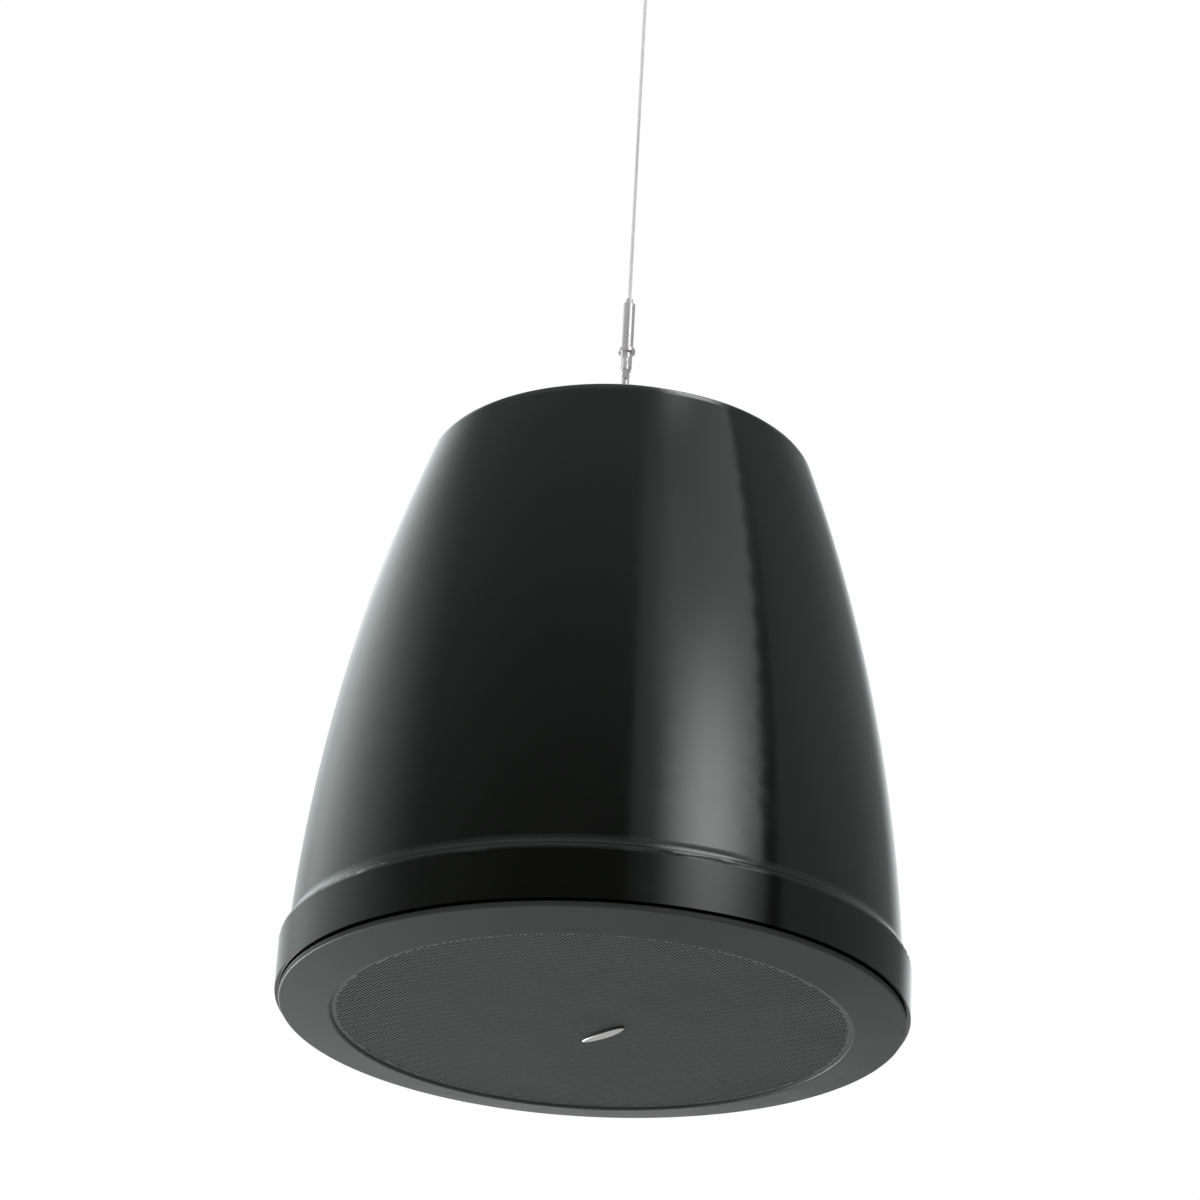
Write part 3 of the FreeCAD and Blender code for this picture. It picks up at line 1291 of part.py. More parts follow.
def make_hook_body():
    """Bend the hook from round bar: arm, top bend, straight side, low bend and nose, with its boss."""
    body = new_body("hook_body")
    spine = new_sketch(body, "YZ_Plane")
    draw_path(spine, [
        ("-hook_bend", ARM_LOW),
        ("-hook_bend", BEND_HIGH, "-hook_bend"),
        ("0", HOOK_TOP_LINE, "-hook_bend"),
        ("hook_bend", BEND_HIGH),
        ("hook_bend", BEND_LOW, "-hook_bend"),
        ("0", f"{BEND_LOW} - hook_bend", "-hook_bend"),
        ("-hook_bend", BEND_LOW),
        ("-hook_bend", NOSE_HIGH),
    ])
    section = new_sketch(body, "XY_Plane", ARM_LOW)
    draw_circle(section, "0", "-hook_bend", "wire_radius")
    bar = body.newObject("PartDesign::AdditivePipe", "hook_bar")
    bar.Profile = section
    bar.Spine = (spine, [])
    doc.recompute()
    pad(body, "XY_Plane", [("circle", "0", "0", "hook_boss")], "hook_boss_low + hook_boss_high", BOSS_LOW)
    pad(body, "XZ_Plane", [box_outline("tongue_depth / 2", "(tongue_drop + 0.5) / 2", "0",
                                       f"{ARM_LOW} + 0.5 - (tongue_drop + 0.5) / 2")],
        "wire_radius * 1.7", "hook_bend - wire_radius * 0.85")
    pocket(body, "XY_Plane", [("circle", "0", "0", "swivel_stem + swivel_fit")],
           "hook_boss_low + hook_boss_high + 1", f"{BOSS_HIGH} + 0.5")
    pocket(body, "YZ_Plane", [("circle", "-hook_bend", PIN_HEIGHT, "pin_radius + pin_fit")],
           "tongue_depth + 1", "0", True)
    return body


def make_hook_gate():
    """Turn the gate and cut its fork and pin hole."""
    body = new_body("hook_gate")
    high = f"({PIN_HEIGHT} + fork_reach)"
    low = f"({NOSE_HIGH} + gate_gap)"
    pad(body, "XY_Plane", [("circle", "0", "-hook_bend", "gate_radius")], f"{high} - {low}", low)
    pocket(body, "XZ_Plane", [box_outline("(tongue_depth / 2 + gate_gap / 2)",
                                          "((fork_reach + fork_root) / 2 + 0.5)", "0",
                                          f"{PIN_HEIGHT} - fork_root + (fork_reach + fork_root) / 2 + 0.5")],
           "2 * hook_bend + 3 * gate_radius", "0", True)
    pocket(body, "YZ_Plane", [("circle", "-hook_bend", PIN_HEIGHT, "pin_radius + pin_fit")],
           "gate_radius * 3", "0", True)
    return body


def make_gate_pin():
    """Cut the gate's pin."""
    body = new_body("gate_pin")
    pad(body, "YZ_Plane", [("circle", "-hook_bend", PIN_HEIGHT, "pin_radius")],
        "2 * pin_half_length", "0", True)
    return body


def make_swivel_stem():
    """Turn the swivel: head below the hook's boss, stem through it and collar under the gripper."""
    body = new_body("swivel_stem")
    head_high = f"({BOSS_LOW} - swivel_end_gap)"
    head_low = f"({head_high} - swivel_head_depth)"
    revolve(body, [
        ("0", head_low),
        ("swivel_head - 0.5", head_low),
        ("swivel_head", f"{head_low} + 0.5"),
        ("swivel_head", head_high),
        ("swivel_stem", head_high),
        ("swivel_stem", COLLAR_LOW),
        ("collar_radius", COLLAR_LOW),
        ("collar_radius", f"{BARREL_LOW} - 0.8"),
        ("collar_radius - 0.8", BARREL_LOW),
        ("0", BARREL_LOW),
    ])
    return body


def make_gripper_barrel():
    """Turn the gripper: solid foot, cavity for spring and balls, and lip round the plunger."""
    body = new_body("gripper_barrel")
    mouth = "(plunger_radius + plunger_fit)"
    revolve(body, [
        ("0", BARREL_LOW),
        ("barrel_radius - barrel_edge", BARREL_LOW),
        ("barrel_radius", f"{BARREL_LOW} + barrel_edge"),
        ("barrel_radius", f"{BARREL_HIGH} - barrel_edge"),
        ("barrel_radius - barrel_edge", BARREL_HIGH),
        (mouth, BARREL_HIGH),
        (mouth, LIP_LOW),
        ("barrel_bore", LIP_LOW),
        ("barrel_bore", CAVITY_LOW),
        ("0", CAVITY_LOW),
    ])
    return body


def make_release_plunger():
    """Turn the plunger that frees the rope when it is pushed in."""
    body = new_body("release_plunger")
    high = f"({BARREL_HIGH} + plunger_stick)"
    revolve(body, [
        ("plunger_bore", PLUNGER_LOW),
        ("plunger_flange", PLUNGER_LOW),
        ("plunger_flange", f"{LIP_LOW} - seat_gap"),
        ("plunger_radius", f"{LIP_LOW} - seat_gap"),
        ("plunger_radius", f"{high} - 0.4"),
        ("plunger_radius - 0.35", high),
        ("plunger_bore", high),
    ])
    return body


def make_gripper_balls():
    """Set the gripping balls round the rope under the plunger."""
    body = new_body("gripper_balls")
    centre = f"({PLUNGER_LOW} - ball_radius - seat_gap)"
    sketch = new_sketch(body, "XZ_Plane")
    draw_loop(sketch, [
        ("ball_ring", f"{centre} - ball_radius", "ball_radius"),
        ("ball_ring + ball_radius", centre, "ball_radius"),
        ("ball_ring", f"{centre} + ball_radius"),
    ])
    ball = body.newObject("PartDesign::Revolution", "gripper_ball")
    ball.Profile = sketch
    ball.ReferenceAxis = (sketch, ["Edge3"])
    ball.Angle = 360
    doc.recompute()
    polar(body, [ball], "ball_count")
    return body


def make_gripper_spring():
    """Coil the spring that pushes the balls and the plunger up."""
    body = new_body("gripper_spring")
    low = f"({CAVITY_LOW} + spring_wire + seat_gap)"
    high = f"({PLUNGER_LOW} - 2 * ball_radius - spring_wire - 3 * seat_gap)"
    section = new_sketch(body, "XZ_Plane")
    draw_circle(section, "spring_radius", low, "spring_wire")
    coil = body.newObject("PartDesign::AdditiveHelix", "gripper_coil")
    coil.Profile = section
    coil.ReferenceAxis = (section, ["V_Axis"])
    coil.Mode = "height-turns-angle"
    coil.setExpression("Height", bound(f"{high} - {low}"))
    coil.setExpression("Turns", bound("spring_turns"))
    doc.recompute()
    return body


def make_wire_rope():
    """Draw the straight rope from the gripper's floor into the ferrule."""
    body = new_body("wire_rope")
    pad(body, "XY_Plane", [("circle", "0", "0", "rope_radius")],
        f"{FERRULE_LOW} + rope_grip - {CAVITY_LOW}", CAVITY_LOW)
    return body


def make_ceiling_eye():
    """Press the eye: bored ferrule with a flat eye above it."""
    body = new_body("ceiling_eye")
    bore = "(rope_radius + rope_fit)"
    revolve(body, [
        (bore, FERRULE_LOW),
        ("ferrule_radius", FERRULE_LOW),
        ("ferrule_radius", FERRULE_HIGH),
        ("0", FERRULE_HIGH),
        ("0", f"{FERRULE_LOW} + rope_grip"),
        (bore, f"{FERRULE_LOW} + rope_grip"),
    ])
    pad(body, "XZ_Plane", [("circle", "0", EYE_HEIGHT, "eye_outer")], "eye_depth", "0", True)
    pocket(body, "XZ_Plane", [("circle", "0", EYE_HEIGHT, "eye_hole")], "eye_depth + 2", "0", True)
    return body


def make_all():
    """Make every piece."""
    make_enclosure_shell()
    make_damping_lining()
    make_grille_frame()
    make_grille_sheet()
    make_grille_scrim()
    make_badge_bar()
    make_baffle()
    make_baffle_gasket()
    make_baffle_screws()
    make_port_tube("port_tube_left", "-1")
    make_port_tube("port_tube_right", "1")
    make_driver_basket()
    make_driver_gasket()
    make_driver_screws()
    make_driver_terminals()
    make_surround()
    make_cone()
    make_coil_former()
    make_voice_coil()
    make_spider()
    make_magnet_top_plate()
    make_magnet_ring()
    make_pole_piece()
    make_tweeter_post()
    make_tweeter_body()
    make_tweeter_dome()
    make_tap_switch()
    make_tap_shaft()
    make_tap_knob()
    make_transformer_core()
    make_transformer_coil()
    make_transformer_bracket()
    make_crossover_board()
    make_board_spacers()
    make_crossover_coil()
    make_crossover_capacitors()
    make_crossover_resistor()
    make_load_bracket()
    make_backing_plate()
    make_bracket_screws()
    make_top_cover()
    make_top_cover_gasket()
    make_top_cover_screws()
    make_cable_gland()
    make_gland_nut()
    make_terminal_block()
    make_hook_body()
    make_hook_gate()
    make_gate_pin()
    make_swivel_stem()
    make_gripper_barrel()
    make_release_plunger()
    make_gripper_balls()
    make_gripper_spring()
    make_wire_rope()
    make_ceiling_eye()


def check_all():
    """Stop at any object that failed, and at any piece that is empty or not sound."""
    doc.recompute()
    for item in doc.Objects:
        if "Invalid" in item.State or "Error" in item.State:
            raise RuntimeError(f"{item.Name} failed: {item.State}")
    for item in finished:
        if item.Shape.isNull() or not item.Shape.isValid() or not item.Shape.Solids:
            raise RuntimeError(f"{item.Label} is not a sound solid")


def export_all():
    """Write one file for each piece."""
    os.makedirs("parts", exist_ok=True)
    for item in finished:
        item.Shape.exportStep(f"parts/{item.Label}.step")


make_all()
check_all()
export_all()
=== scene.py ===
"""Looks, rope, light and camera of the pendant speaker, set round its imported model."""

import logging
import math
from dataclasses import dataclass, field
from enum import Enum
from typing import Any

import bmesh
import bpy
from mathutils import Matrix, Vector


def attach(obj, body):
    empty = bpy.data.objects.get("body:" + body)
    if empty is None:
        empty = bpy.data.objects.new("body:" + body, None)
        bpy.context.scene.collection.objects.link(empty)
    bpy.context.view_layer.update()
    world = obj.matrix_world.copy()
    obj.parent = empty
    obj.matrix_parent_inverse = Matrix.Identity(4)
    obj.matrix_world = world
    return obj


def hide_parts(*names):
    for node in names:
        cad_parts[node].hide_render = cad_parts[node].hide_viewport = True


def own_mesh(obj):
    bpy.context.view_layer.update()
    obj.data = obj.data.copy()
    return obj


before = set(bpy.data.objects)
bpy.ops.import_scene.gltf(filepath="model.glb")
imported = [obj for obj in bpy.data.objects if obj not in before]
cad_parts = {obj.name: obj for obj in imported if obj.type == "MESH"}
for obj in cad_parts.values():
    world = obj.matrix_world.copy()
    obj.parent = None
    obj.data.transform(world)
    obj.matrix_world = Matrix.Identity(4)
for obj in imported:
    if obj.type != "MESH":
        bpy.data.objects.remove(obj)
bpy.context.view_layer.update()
LOG = logging.getLogger("pendant_speaker")
Colour = tuple[float, float, float]
Place = tuple[float, float, float]
Span = tuple[float, float, float, float]
Socket = bpy.types.NodeSocket
EYE_HEIGHT = 621.80685
MM = 0.001
UP = Vector((0.0, 0.0, 1.0))
WHITE = (1.0, 1.0, 1.0, 1.0)
MERGE_DISTANCE = 0.00001


def row(height: float) -> float:
    """Turn a height into the row's own metres, which count from the ceiling eye's hole.

    Args:
        height: Millimetres above the lower edge of the face ring.

    Returns:
        The height in metres.
    """
    return (height - EYE_HEIGHT) * MM


def heading(angle: float) -> Vector:
    """Give the level unit vector at an angle in radians."""
    return Vector((math.cos(angle), math.sin(angle), 0.0))


def around(count: int) -> list[float]:
    """Share a full turn, in radians, into equal steps."""
    return [math.tau * step / count for step in range(count)]


class Pattern(Enum):
    """The relief and colour pattern of a surface."""

    GRAIN = "grain"
    BRUSHED = "brushed"
    WEAVE = "weave"
    BANDS = "bands"
    CELLS = "cells"
    FIBRES = "fibres"


class Graph:
    """A node tree that is wired in short calls."""

    def __init__(self, tree: bpy.types.NodeTree) -> None:
        """Start from an empty tree.

        Args:
            tree: The node tree of a material, a world or a modifier.
        """
        self.tree = tree
        tree.nodes.clear()

    def add(self, kind: str, inputs: dict[str | int, Any] | None = None,
            **settings: Any) -> bpy.types.Node:
        """Add a node, set it and wire its inputs.

        Args:
            kind: The node's type name.
            inputs: A value or a socket for each input, by name or place.
            settings: The node's own properties.

        Returns:
            The new node.
        """
        node = self.tree.nodes.new(kind)
        for name, value in settings.items():
            setattr(node, name, value)
        for key, value in (inputs or {}).items():
            if isinstance(value, Socket):
                self.tree.links.new(value, node.inputs[key])
            else:
                node.inputs[key].default_value = value
        return node

    def math(self, operation: str, *values: Any) -> Socket:
        """Work out one sum.

        Args:
            operation: The name of the sum.
            values: Numbers or sockets.

        Returns:
            The socket with the result.
        """
        return self.add("ShaderNodeMath", dict(enumerate(values)), operation=operation).outputs[0]

    def product(self, first: Any, *others: Any) -> Socket:
        """Multiply values, one after another.

        Args:
            first: A number or a socket.
            others: More numbers or sockets.

        Returns:
            The socket with the product.
        """
        for other in others:
            first = self.math("MULTIPLY", first, other)
        return first

    def ramp(self, value: Any, low: float, high: float, to_low: float = 0.0,
             to_high: float = 1.0) -> Socket:
        """Map a value smoothly from one range to another.

        Args:
            value: The socket that is mapped.
            low: The value that gives to_low.
            high: The value that gives to_high.
            to_low: The result at low.
            to_high: The result at high.

        Returns:
            The socket with the mapped value.
        """
        limits = {"From Min": low, "From Max": high, "To Min": to_low, "To Max": to_high}
        node = self.add("ShaderNodeMapRange", {"Value": value, **limits},
                        interpolation_type="SMOOTHSTEP")
        return node.outputs["Result"]


class Grower(Graph):
    """A modifier's node tree with named inputs, which grows plain meshes."""

    def __init__(self, name: str, inputs: dict[str, str]) -> None:
        """Start the tree.

        Args:
            name: The tree's name.
            inputs: The kind of each named input.
        """
        super().__init__(bpy.data.node_groups.new(name, "GeometryNodeTree"))
        face = self.tree.interface
        face.new_socket("Geometry", in_out="OUTPUT", socket_type="NodeSocketGeometry")
        for label, kind in {"Geometry": "Geometry", **inputs, "Material": "Material"}.items():
            face.new_socket(label, in_out="INPUT", socket_type=f"NodeSocket{kind}")
        self.given = self.add("NodeGroupInput").outputs
        self.place = self.add("GeometryNodeInputPosition").outputs[0]

    def instances(self, points: Socket, label: str, **extra: Any) -> Socket:
        """Set an input's object on points as real geometry.

        Args:
            points: The points.
            label: The name of the object's input.
            extra: The Selection or the Rotation of the instances.

        Returns:
            The socket with the realized copies.
        """
        shape = self.add("GeometryNodeObjectInfo", {"Object": self.given[label]})
        copies = self.add("GeometryNodeInstanceOnPoints", {
            "Points": points, "Instance": shape.outputs["Geometry"], **extra})
        return self.add("GeometryNodeRealizeInstances", {0: copies.outputs[0]}).outputs[0]

    def merged(self, *parts: Socket) -> Socket:
        """Join geometries and merge the points that meet.

        Args:
            parts: The geometries.

        Returns:
            The socket with the joined mesh.
        """
        joined = self.add("GeometryNodeJoinGeometry")
        for part in parts:
            self.tree.links.new(part, joined.inputs[0])
        return self.add("GeometryNodeMergeByDistance", {
            "Geometry": joined.outputs[0], "Distance": MERGE_DISTANCE}).outputs[0]

    def close(self, geometry: Socket) -> None:
        """End the tree in real geometry that has its material.

        Args:
            geometry: The socket with what has been grown.
        """
        real = self.add("GeometryNodeRealizeInstances", {0: geometry}).outputs[0]
        dressed = self.add("GeometryNodeSetMaterial", {
            "Geometry": real, "Material": self.given["Material"]}).outputs[0]
        self.add("NodeGroupOutput", {0: dressed})

    def grow(self, values: dict[str, Any]) -> bpy.types.Mesh:
        """Run the tree once and take its modifier away again.

        Args:
            values: A value for each named input.

        Returns:
            The plain mesh.
        """
        name = self.tree.name
        start = bpy.data.objects.new(name, bpy.data.meshes.new(name))
        bpy.context.scene.collection.objects.link(start)
        growth = start.modifiers.new(name, "NODES")
        growth.node_group = self.tree
        for socket in self.tree.interface.items_tree:
            if socket.in_out == "INPUT" and socket.name in values:
                growth[socket.identifier] = values[socket.name]
        seen = start.evaluated_get(bpy.context.evaluated_depsgraph_get())
        mesh = bpy.data.meshes.new_from_object(seen)
        bpy.data.objects.remove(start)
        return mesh


@dataclass(frozen=True)
class Finish:
    """One surface finish: two colours, a relief pattern and how it shines.

    The grain and the mottle are the sizes of the fine and the broad pattern, and the depth is the
    relief's own, all in metres. The spread is how far the roughness wanders, and the wear is what
    the scuffs add to it.
    """

    name: str
    pattern: Pattern
    colour: Colour
    second: Colour
    roughness: float
    grain: float
    depth: float
    spread: float = 0.08
    metallic: float = 0.0
    stretch: Place = (1.0, 1.0, 1.0)
    mottle: float = 0.05
    coat: float = 0.0
    sheen: float = 0.0
    ior: float = 1.5
    wear: float = 0.06

    WAVE_RATE = 20.0
    TINT_SPAN = (0.25, 0.75)
    GLOSS_SPAN = (0.3, 0.7)
    SCUFF_SPAN = (0.55, 0.7)
    SCUFFS = 3.0

    def wave(self, graph: Graph, place: Socket, distortion: float, way: str) -> Socket:
        """Lay even bands.

        Args:
            graph: The material's tree.
            place: The coordinates in metres.
            distortion: How much the bands wander.
            way: The axis that the bands lie across.

        Returns:
            A socket that runs from 0 to 1 across each band.
        """
        sizes = {"Scale": 1.0 / self.grain / self.WAVE_RATE, "Distortion": distortion}
        return graph.add("ShaderNodeTexWave", {"Vector": place, **sizes, "Detail": 1.0},
                         bands_direction=way).outputs["Fac"]

    def noise(self, graph: Graph, place: Socket, scale: float, detail: float,
              roughness: float = 0.5) -> Socket:
        """Lay a random pattern.

        Args:
            graph: The material's tree.
            place: The coordinates in metres.
            scale: Patches to the metre.
            detail: How many finer patterns lie in it.
            roughness: How strong the finer patterns are.

        Returns:
            A socket that wanders between 0 and 1.
        """
        sizes = {"Scale": scale, "Detail": detail, "Roughness": roughness}
        return graph.add("ShaderNodeTexNoise", {"Vector": place, **sizes}).outputs["Fac"]

    def relief(self, graph: Graph, place: Socket) -> Socket:
        """Lay the finish's own pattern.

        Args:
            graph: The material's tree.
            place: The coordinates in metres.

        Returns:
            A socket that runs from 0 in the hollows to 1 on the crests.
        """
        scale = 1.0 / self.grain
        if self.pattern is Pattern.WEAVE:
            return graph.product(*(self.wave(graph, place, 0.6, way) for way in ("X", "Y")))
        if self.pattern is Pattern.BANDS:
            return self.wave(graph, place, 0.3, "Z")
        if self.pattern is Pattern.CELLS:
            cells = graph.add("ShaderNodeTexVoronoi", {"Vector": place, "Scale": scale})
            return cells.outputs["Distance"]
        return self.noise(graph, place, scale, 6.0 if self.pattern is Pattern.FIBRES else 3.0, 0.6)

    def build(self) -> bpy.types.Material:
        """Make the material.

        Returns:
            The material with its node tree.
        """
        material = bpy.data.materials.new(self.name)
        material.use_nodes = True
        graph = Graph(material.node_tree)
        place = graph.add("ShaderNodeTexCoord").outputs["Object"]
        drawn = graph.add("ShaderNodeMapping", {"Vector": place, "Scale": self.stretch})
        height = self.relief(graph, drawn.outputs["Vector"])
        broad = self.noise(graph, place, 1.0 / self.mottle, 4.0)
        share = graph.product(graph.math("ADD", height, broad), 0.5)
        tint = graph.add("ShaderNodeMix", {
            0: graph.ramp(share, *self.TINT_SPAN), 6: (*self.colour, 1.0), 7: (*self.second, 1.0),
        }, data_type="RGBA").outputs[2]
        smooth = graph.ramp(broad, *self.GLOSS_SPAN, self.roughness - self.spread / 2,
                            self.roughness + self.spread / 2)
        scuffs = self.noise(graph, place, self.SCUFFS / self.mottle, 8.0, 0.7)
        rough = graph.math("ADD", smooth, graph.ramp(scuffs, *self.SCUFF_SPAN, 0.0, self.wear))
        bump = graph.add("ShaderNodeBump", {"Height": height, "Distance": self.depth,
                                            "Strength": 1.0})
        shader = graph.add("ShaderNodeBsdfPrincipled", {
            "Base Color": tint, "Roughness": rough, "Metallic": self.metallic, "IOR": self.ior,
            "Normal": bump.outputs["Normal"], "Coat Weight": self.coat, "Sheen Weight": self.sheen,
        })
        graph.add("ShaderNodeOutputMaterial", {"Surface": shader.outputs["BSDF"]})
        return material


FINISHES = {
    "shell_plastic": Finish(
        "gloss_black_shell", Pattern.GRAIN, (0.0019, 0.0023, 0.0016), (0.0028, 0.0033, 0.0024),
        0.12, 0.004, 0.000003, spread=0.03, wear=0.03),
    "face_plastic": Finish(
        "satin_black_face", Pattern.GRAIN, (0.024, 0.0285, 0.0275), (0.029, 0.034, 0.033),
        0.42, 0.0006, 0.00003, ior=1.3),
    "grille_paint": Finish(
        "sprayed_grille_paint", Pattern.GRAIN, (0.031, 0.037, 0.036), (0.038, 0.045, 0.044),
        0.45, 0.0003, 0.00001),
    "scrim_cloth": Finish(
        "black_scrim_weave", Pattern.WEAVE, (0.038, 0.042, 0.041), (0.052, 0.057, 0.056),
        0.9, 0.0006, 0.0001, sheen=0.1),
    "badge_metal": Finish(
        "brushed_badge_aluminium", Pattern.BRUSHED, (0.42, 0.42, 0.41), (0.56, 0.56, 0.55),
        0.2, 0.0003, 0.000004, metallic=0.9, stretch=(0.08, 1.0, 1.0)),
    "inner_plastic": Finish(
        "moulded_black_plastic", Pattern.GRAIN, (0.012, 0.013, 0.012), (0.02, 0.021, 0.02),
        0.5, 0.0008, 0.00003),
    "foam": Finish(
        "grey_damping_foam", Pattern.CELLS, (0.02, 0.02, 0.022), (0.06, 0.06, 0.062),
        0.95, 0.0015, 0.0008),
    "rubber_roll": Finish(
        "butyl_rubber", Pattern.GRAIN, (0.012, 0.012, 0.012), (0.02, 0.02, 0.02),
        0.55, 0.0009, 0.00002, sheen=0.1),
    "felt": Finish(
        "grey_felt", Pattern.FIBRES, (0.2, 0.2, 0.19), (0.36, 0.35, 0.33),
        0.95, 0.0006, 0.0002, sheen=0.3),
    "cone_paper": Finish(
        "pressed_black_paper", Pattern.FIBRES, (0.015, 0.015, 0.015), (0.04, 0.04, 0.038),
        0.8, 0.0009, 0.00012),
    "spider_cloth": Finish(
        "amber_spider_cloth", Pattern.WEAVE, (0.3, 0.17, 0.05), (0.5, 0.32, 0.13),
        0.7, 0.0008, 0.00015),
    "dome_silk": Finish(
        "coated_silk", Pattern.WEAVE, (0.03, 0.03, 0.03), (0.07, 0.07, 0.07),
        0.4, 0.0004, 0.00003, sheen=0.2),
    "basket_steel": Finish(
        "black_pressed_steel", Pattern.GRAIN, (0.02, 0.02, 0.02), (0.03, 0.03, 0.03),
        0.4, 0.0006, 0.00003),
    "magnet_steel": Finish(
        "zinc_plated_steel", Pattern.BRUSHED, (0.5, 0.5, 0.48), (0.62, 0.61, 0.56),
        0.35, 0.0005, 0.00001, metallic=1.0, stretch=(1.0, 1.0, 0.1)),
    "ferrite": Finish(
        "sintered_ferrite", Pattern.CELLS, (0.02, 0.02, 0.021), (0.045, 0.045, 0.046),
        0.7, 0.0006, 0.00008),
    "copper_wire": Finish(
        "enamelled_copper_winding", Pattern.BANDS, (0.6, 0.22, 0.08), (0.75, 0.34, 0.14),
        0.3, 0.0006, 0.00012, metallic=1.0),
    "lamination": Finish(
        "stacked_core_steel", Pattern.BANDS, (0.16, 0.15, 0.14), (0.3, 0.29, 0.27),
        0.5, 0.0008, 0.00008, metallic=0.8),
    "screw_steel": Finish(
        "black_zinc_screw", Pattern.GRAIN, (0.1, 0.1, 0.1), (0.17, 0.17, 0.17),
        0.35, 0.0005, 0.000006, metallic=0.9),
    "bracket_steel": Finish(
        "powder_coated_bracket", Pattern.CELLS, (0.014, 0.014, 0.014), (0.024, 0.024, 0.024),
        0.4, 0.0007, 0.00004),
    "shaft_metal": Finish(
        "turned_aluminium", Pattern.BANDS, (0.55, 0.55, 0.54), (0.68, 0.68, 0.67),
        0.3, 0.0004, 0.00001, metallic=1.0),
    "board": Finish(
        "green_board", Pattern.GRAIN, (0.01, 0.09, 0.03), (0.02, 0.13, 0.05), 0.4, 0.001, 0.00002),
    "component": Finish(
        "moulded_component", Pattern.GRAIN, (0.25, 0.05, 0.03), (0.32, 0.08, 0.05),
        0.45, 0.0008, 0.00002),
    "tab_metal": Finish(
        "tinned_brass", Pattern.BRUSHED, (0.7, 0.62, 0.42), (0.8, 0.74, 0.55),
        0.35, 0.0004, 0.000008, metallic=1.0, stretch=(1.0, 0.1, 1.0)),
    "gland_plastic": Finish(
        "black_nylon_gland", Pattern.GRAIN, (0.02, 0.02, 0.02), (0.03, 0.03, 0.03),
        0.45, 0.0007, 0.00003),
    "chromed": Finish(
        "bright_nickel", Pattern.GRAIN, (0.6, 0.58, 0.58), (0.7, 0.68, 0.68),
        0.3, 0.0006, 0.000004, metallic=0.55, spread=0.1),
    "rope_steel": Finish(
        "galvanised_rope", Pattern.GRAIN, (0.78, 0.77, 0.77), (0.88, 0.87, 0.87),
        0.4, 0.0005, 0.000006, metallic=0.2),
}


class Wardrobe:
    """The materials by slot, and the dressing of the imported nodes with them."""

    def __init__(self) -> None:
        """Make one material for each slot of the record."""
        self.materials = {slot: finish.build() for slot, finish in FINISHES.items()}

    def dress_nodes(self) -> None:
        """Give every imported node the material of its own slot."""
        for name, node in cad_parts.items():
            for place in node.material_slots:
                slot = place.material.name.split(".")[0]
                place.material = self.materials[slot]
            LOG.info("node %s: %s", name, [place.material.name for place in node.material_slots])

    def piece(self, name: str, mesh: bpy.types.Mesh, body: str, slot: str,
              *replaced: str) -> bpy.types.Object:
        """Turn a mesh into a finished piece.

        Args:
            name: The piece's name.
            mesh: Its mesh, with its place in it.
            body: The body that it rides on.
            slot: The record's slot of its finish.
            replaced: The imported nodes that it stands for.

        Returns:
            The piece.
        """
        mesh.materials.clear()
        mesh.materials.append(self.materials[slot])
        piece = bpy.data.objects.new(name, mesh)
        bpy.context.scene.collection.objects.link(piece)
        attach(piece, body)
        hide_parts(*replaced)
        LOG.info("piece %s on %s: %d faces", name, body, len(mesh.polygons))
        return piece


@dataclass
class PhotoCamera:
    """The camera as the photograph was taken: below the speaker, looking up."""

    place: Place = (0.0, -1.8729, -1.2792)
    pitch: float = 0.4420
    yaw: float = -0.0038
    roll: float = 0.0541
    lens: float = 120.0
    sensor: float = 36.0
    reach: tuple[float, float] = (0.01, 50.0)

    def build(self) -> bpy.types.Object:
        """Make the camera and set it as the scene's own.

        Returns:
            The camera's object.
        """
        level_share = math.cos(self.pitch)
        ahead = Vector((math.sin(self.yaw) * level_share, math.cos(self.yaw) * level_share,
                        math.sin(self.pitch)))
        level = ahead.cross(UP).normalized()
        right = math.cos(self.roll) * level + math.sin(self.roll) * level.cross(ahead)
        turned = Matrix((right, right.cross(ahead), -ahead)).transposed().to_4x4()
        camera = bpy.data.objects.new("photo_camera", bpy.data.cameras.new("photo_camera"))
        camera.data.lens = self.lens
        camera.data.sensor_width = self.sensor
        camera.data.clip_start, camera.data.clip_end = self.reach
        camera.matrix_world = Matrix.Translation(self.place) @ turned
        bpy.context.scene.collection.objects.link(camera)
        bpy.context.scene.camera = camera
        return camera


class Model:
    """A mesh that is built from tubes."""

    def __init__(self) -> None:
        """Start with nothing in it."""
        self.mesh = bmesh.new()

    def tube(self, rings: list[list[Vector]]) -> None:
        """Join rings of equally many points into a skin with closed ends.

        Args:
            rings: The rings, from one end to the other.
        """
        laid = [[self.mesh.verts.new(point) for point in points] for points in rings]
        for lower, upper in zip(laid, laid[1:]):
            for side in range(len(lower)):
                after = (side + 1) % len(lower)
                self.mesh.faces.new((lower[side], lower[after], upper[after], upper[side]))
        self.mesh.faces.new(list(reversed(laid[0])))
        self.mesh.faces.new(laid[-1])

    def finish(self, name: str) -> bpy.types.Mesh:
        """Turn the faces outwards and give the mesh.

        Args:
            name: The mesh's name.

        Returns:
            The finished mesh.
        """
        bmesh.ops.recalc_face_normals(self.mesh, faces=self.mesh.faces)
        mesh = bpy.data.meshes.new(name)
        self.mesh.to_mesh(mesh)
        self.mesh.free()
        return mesh


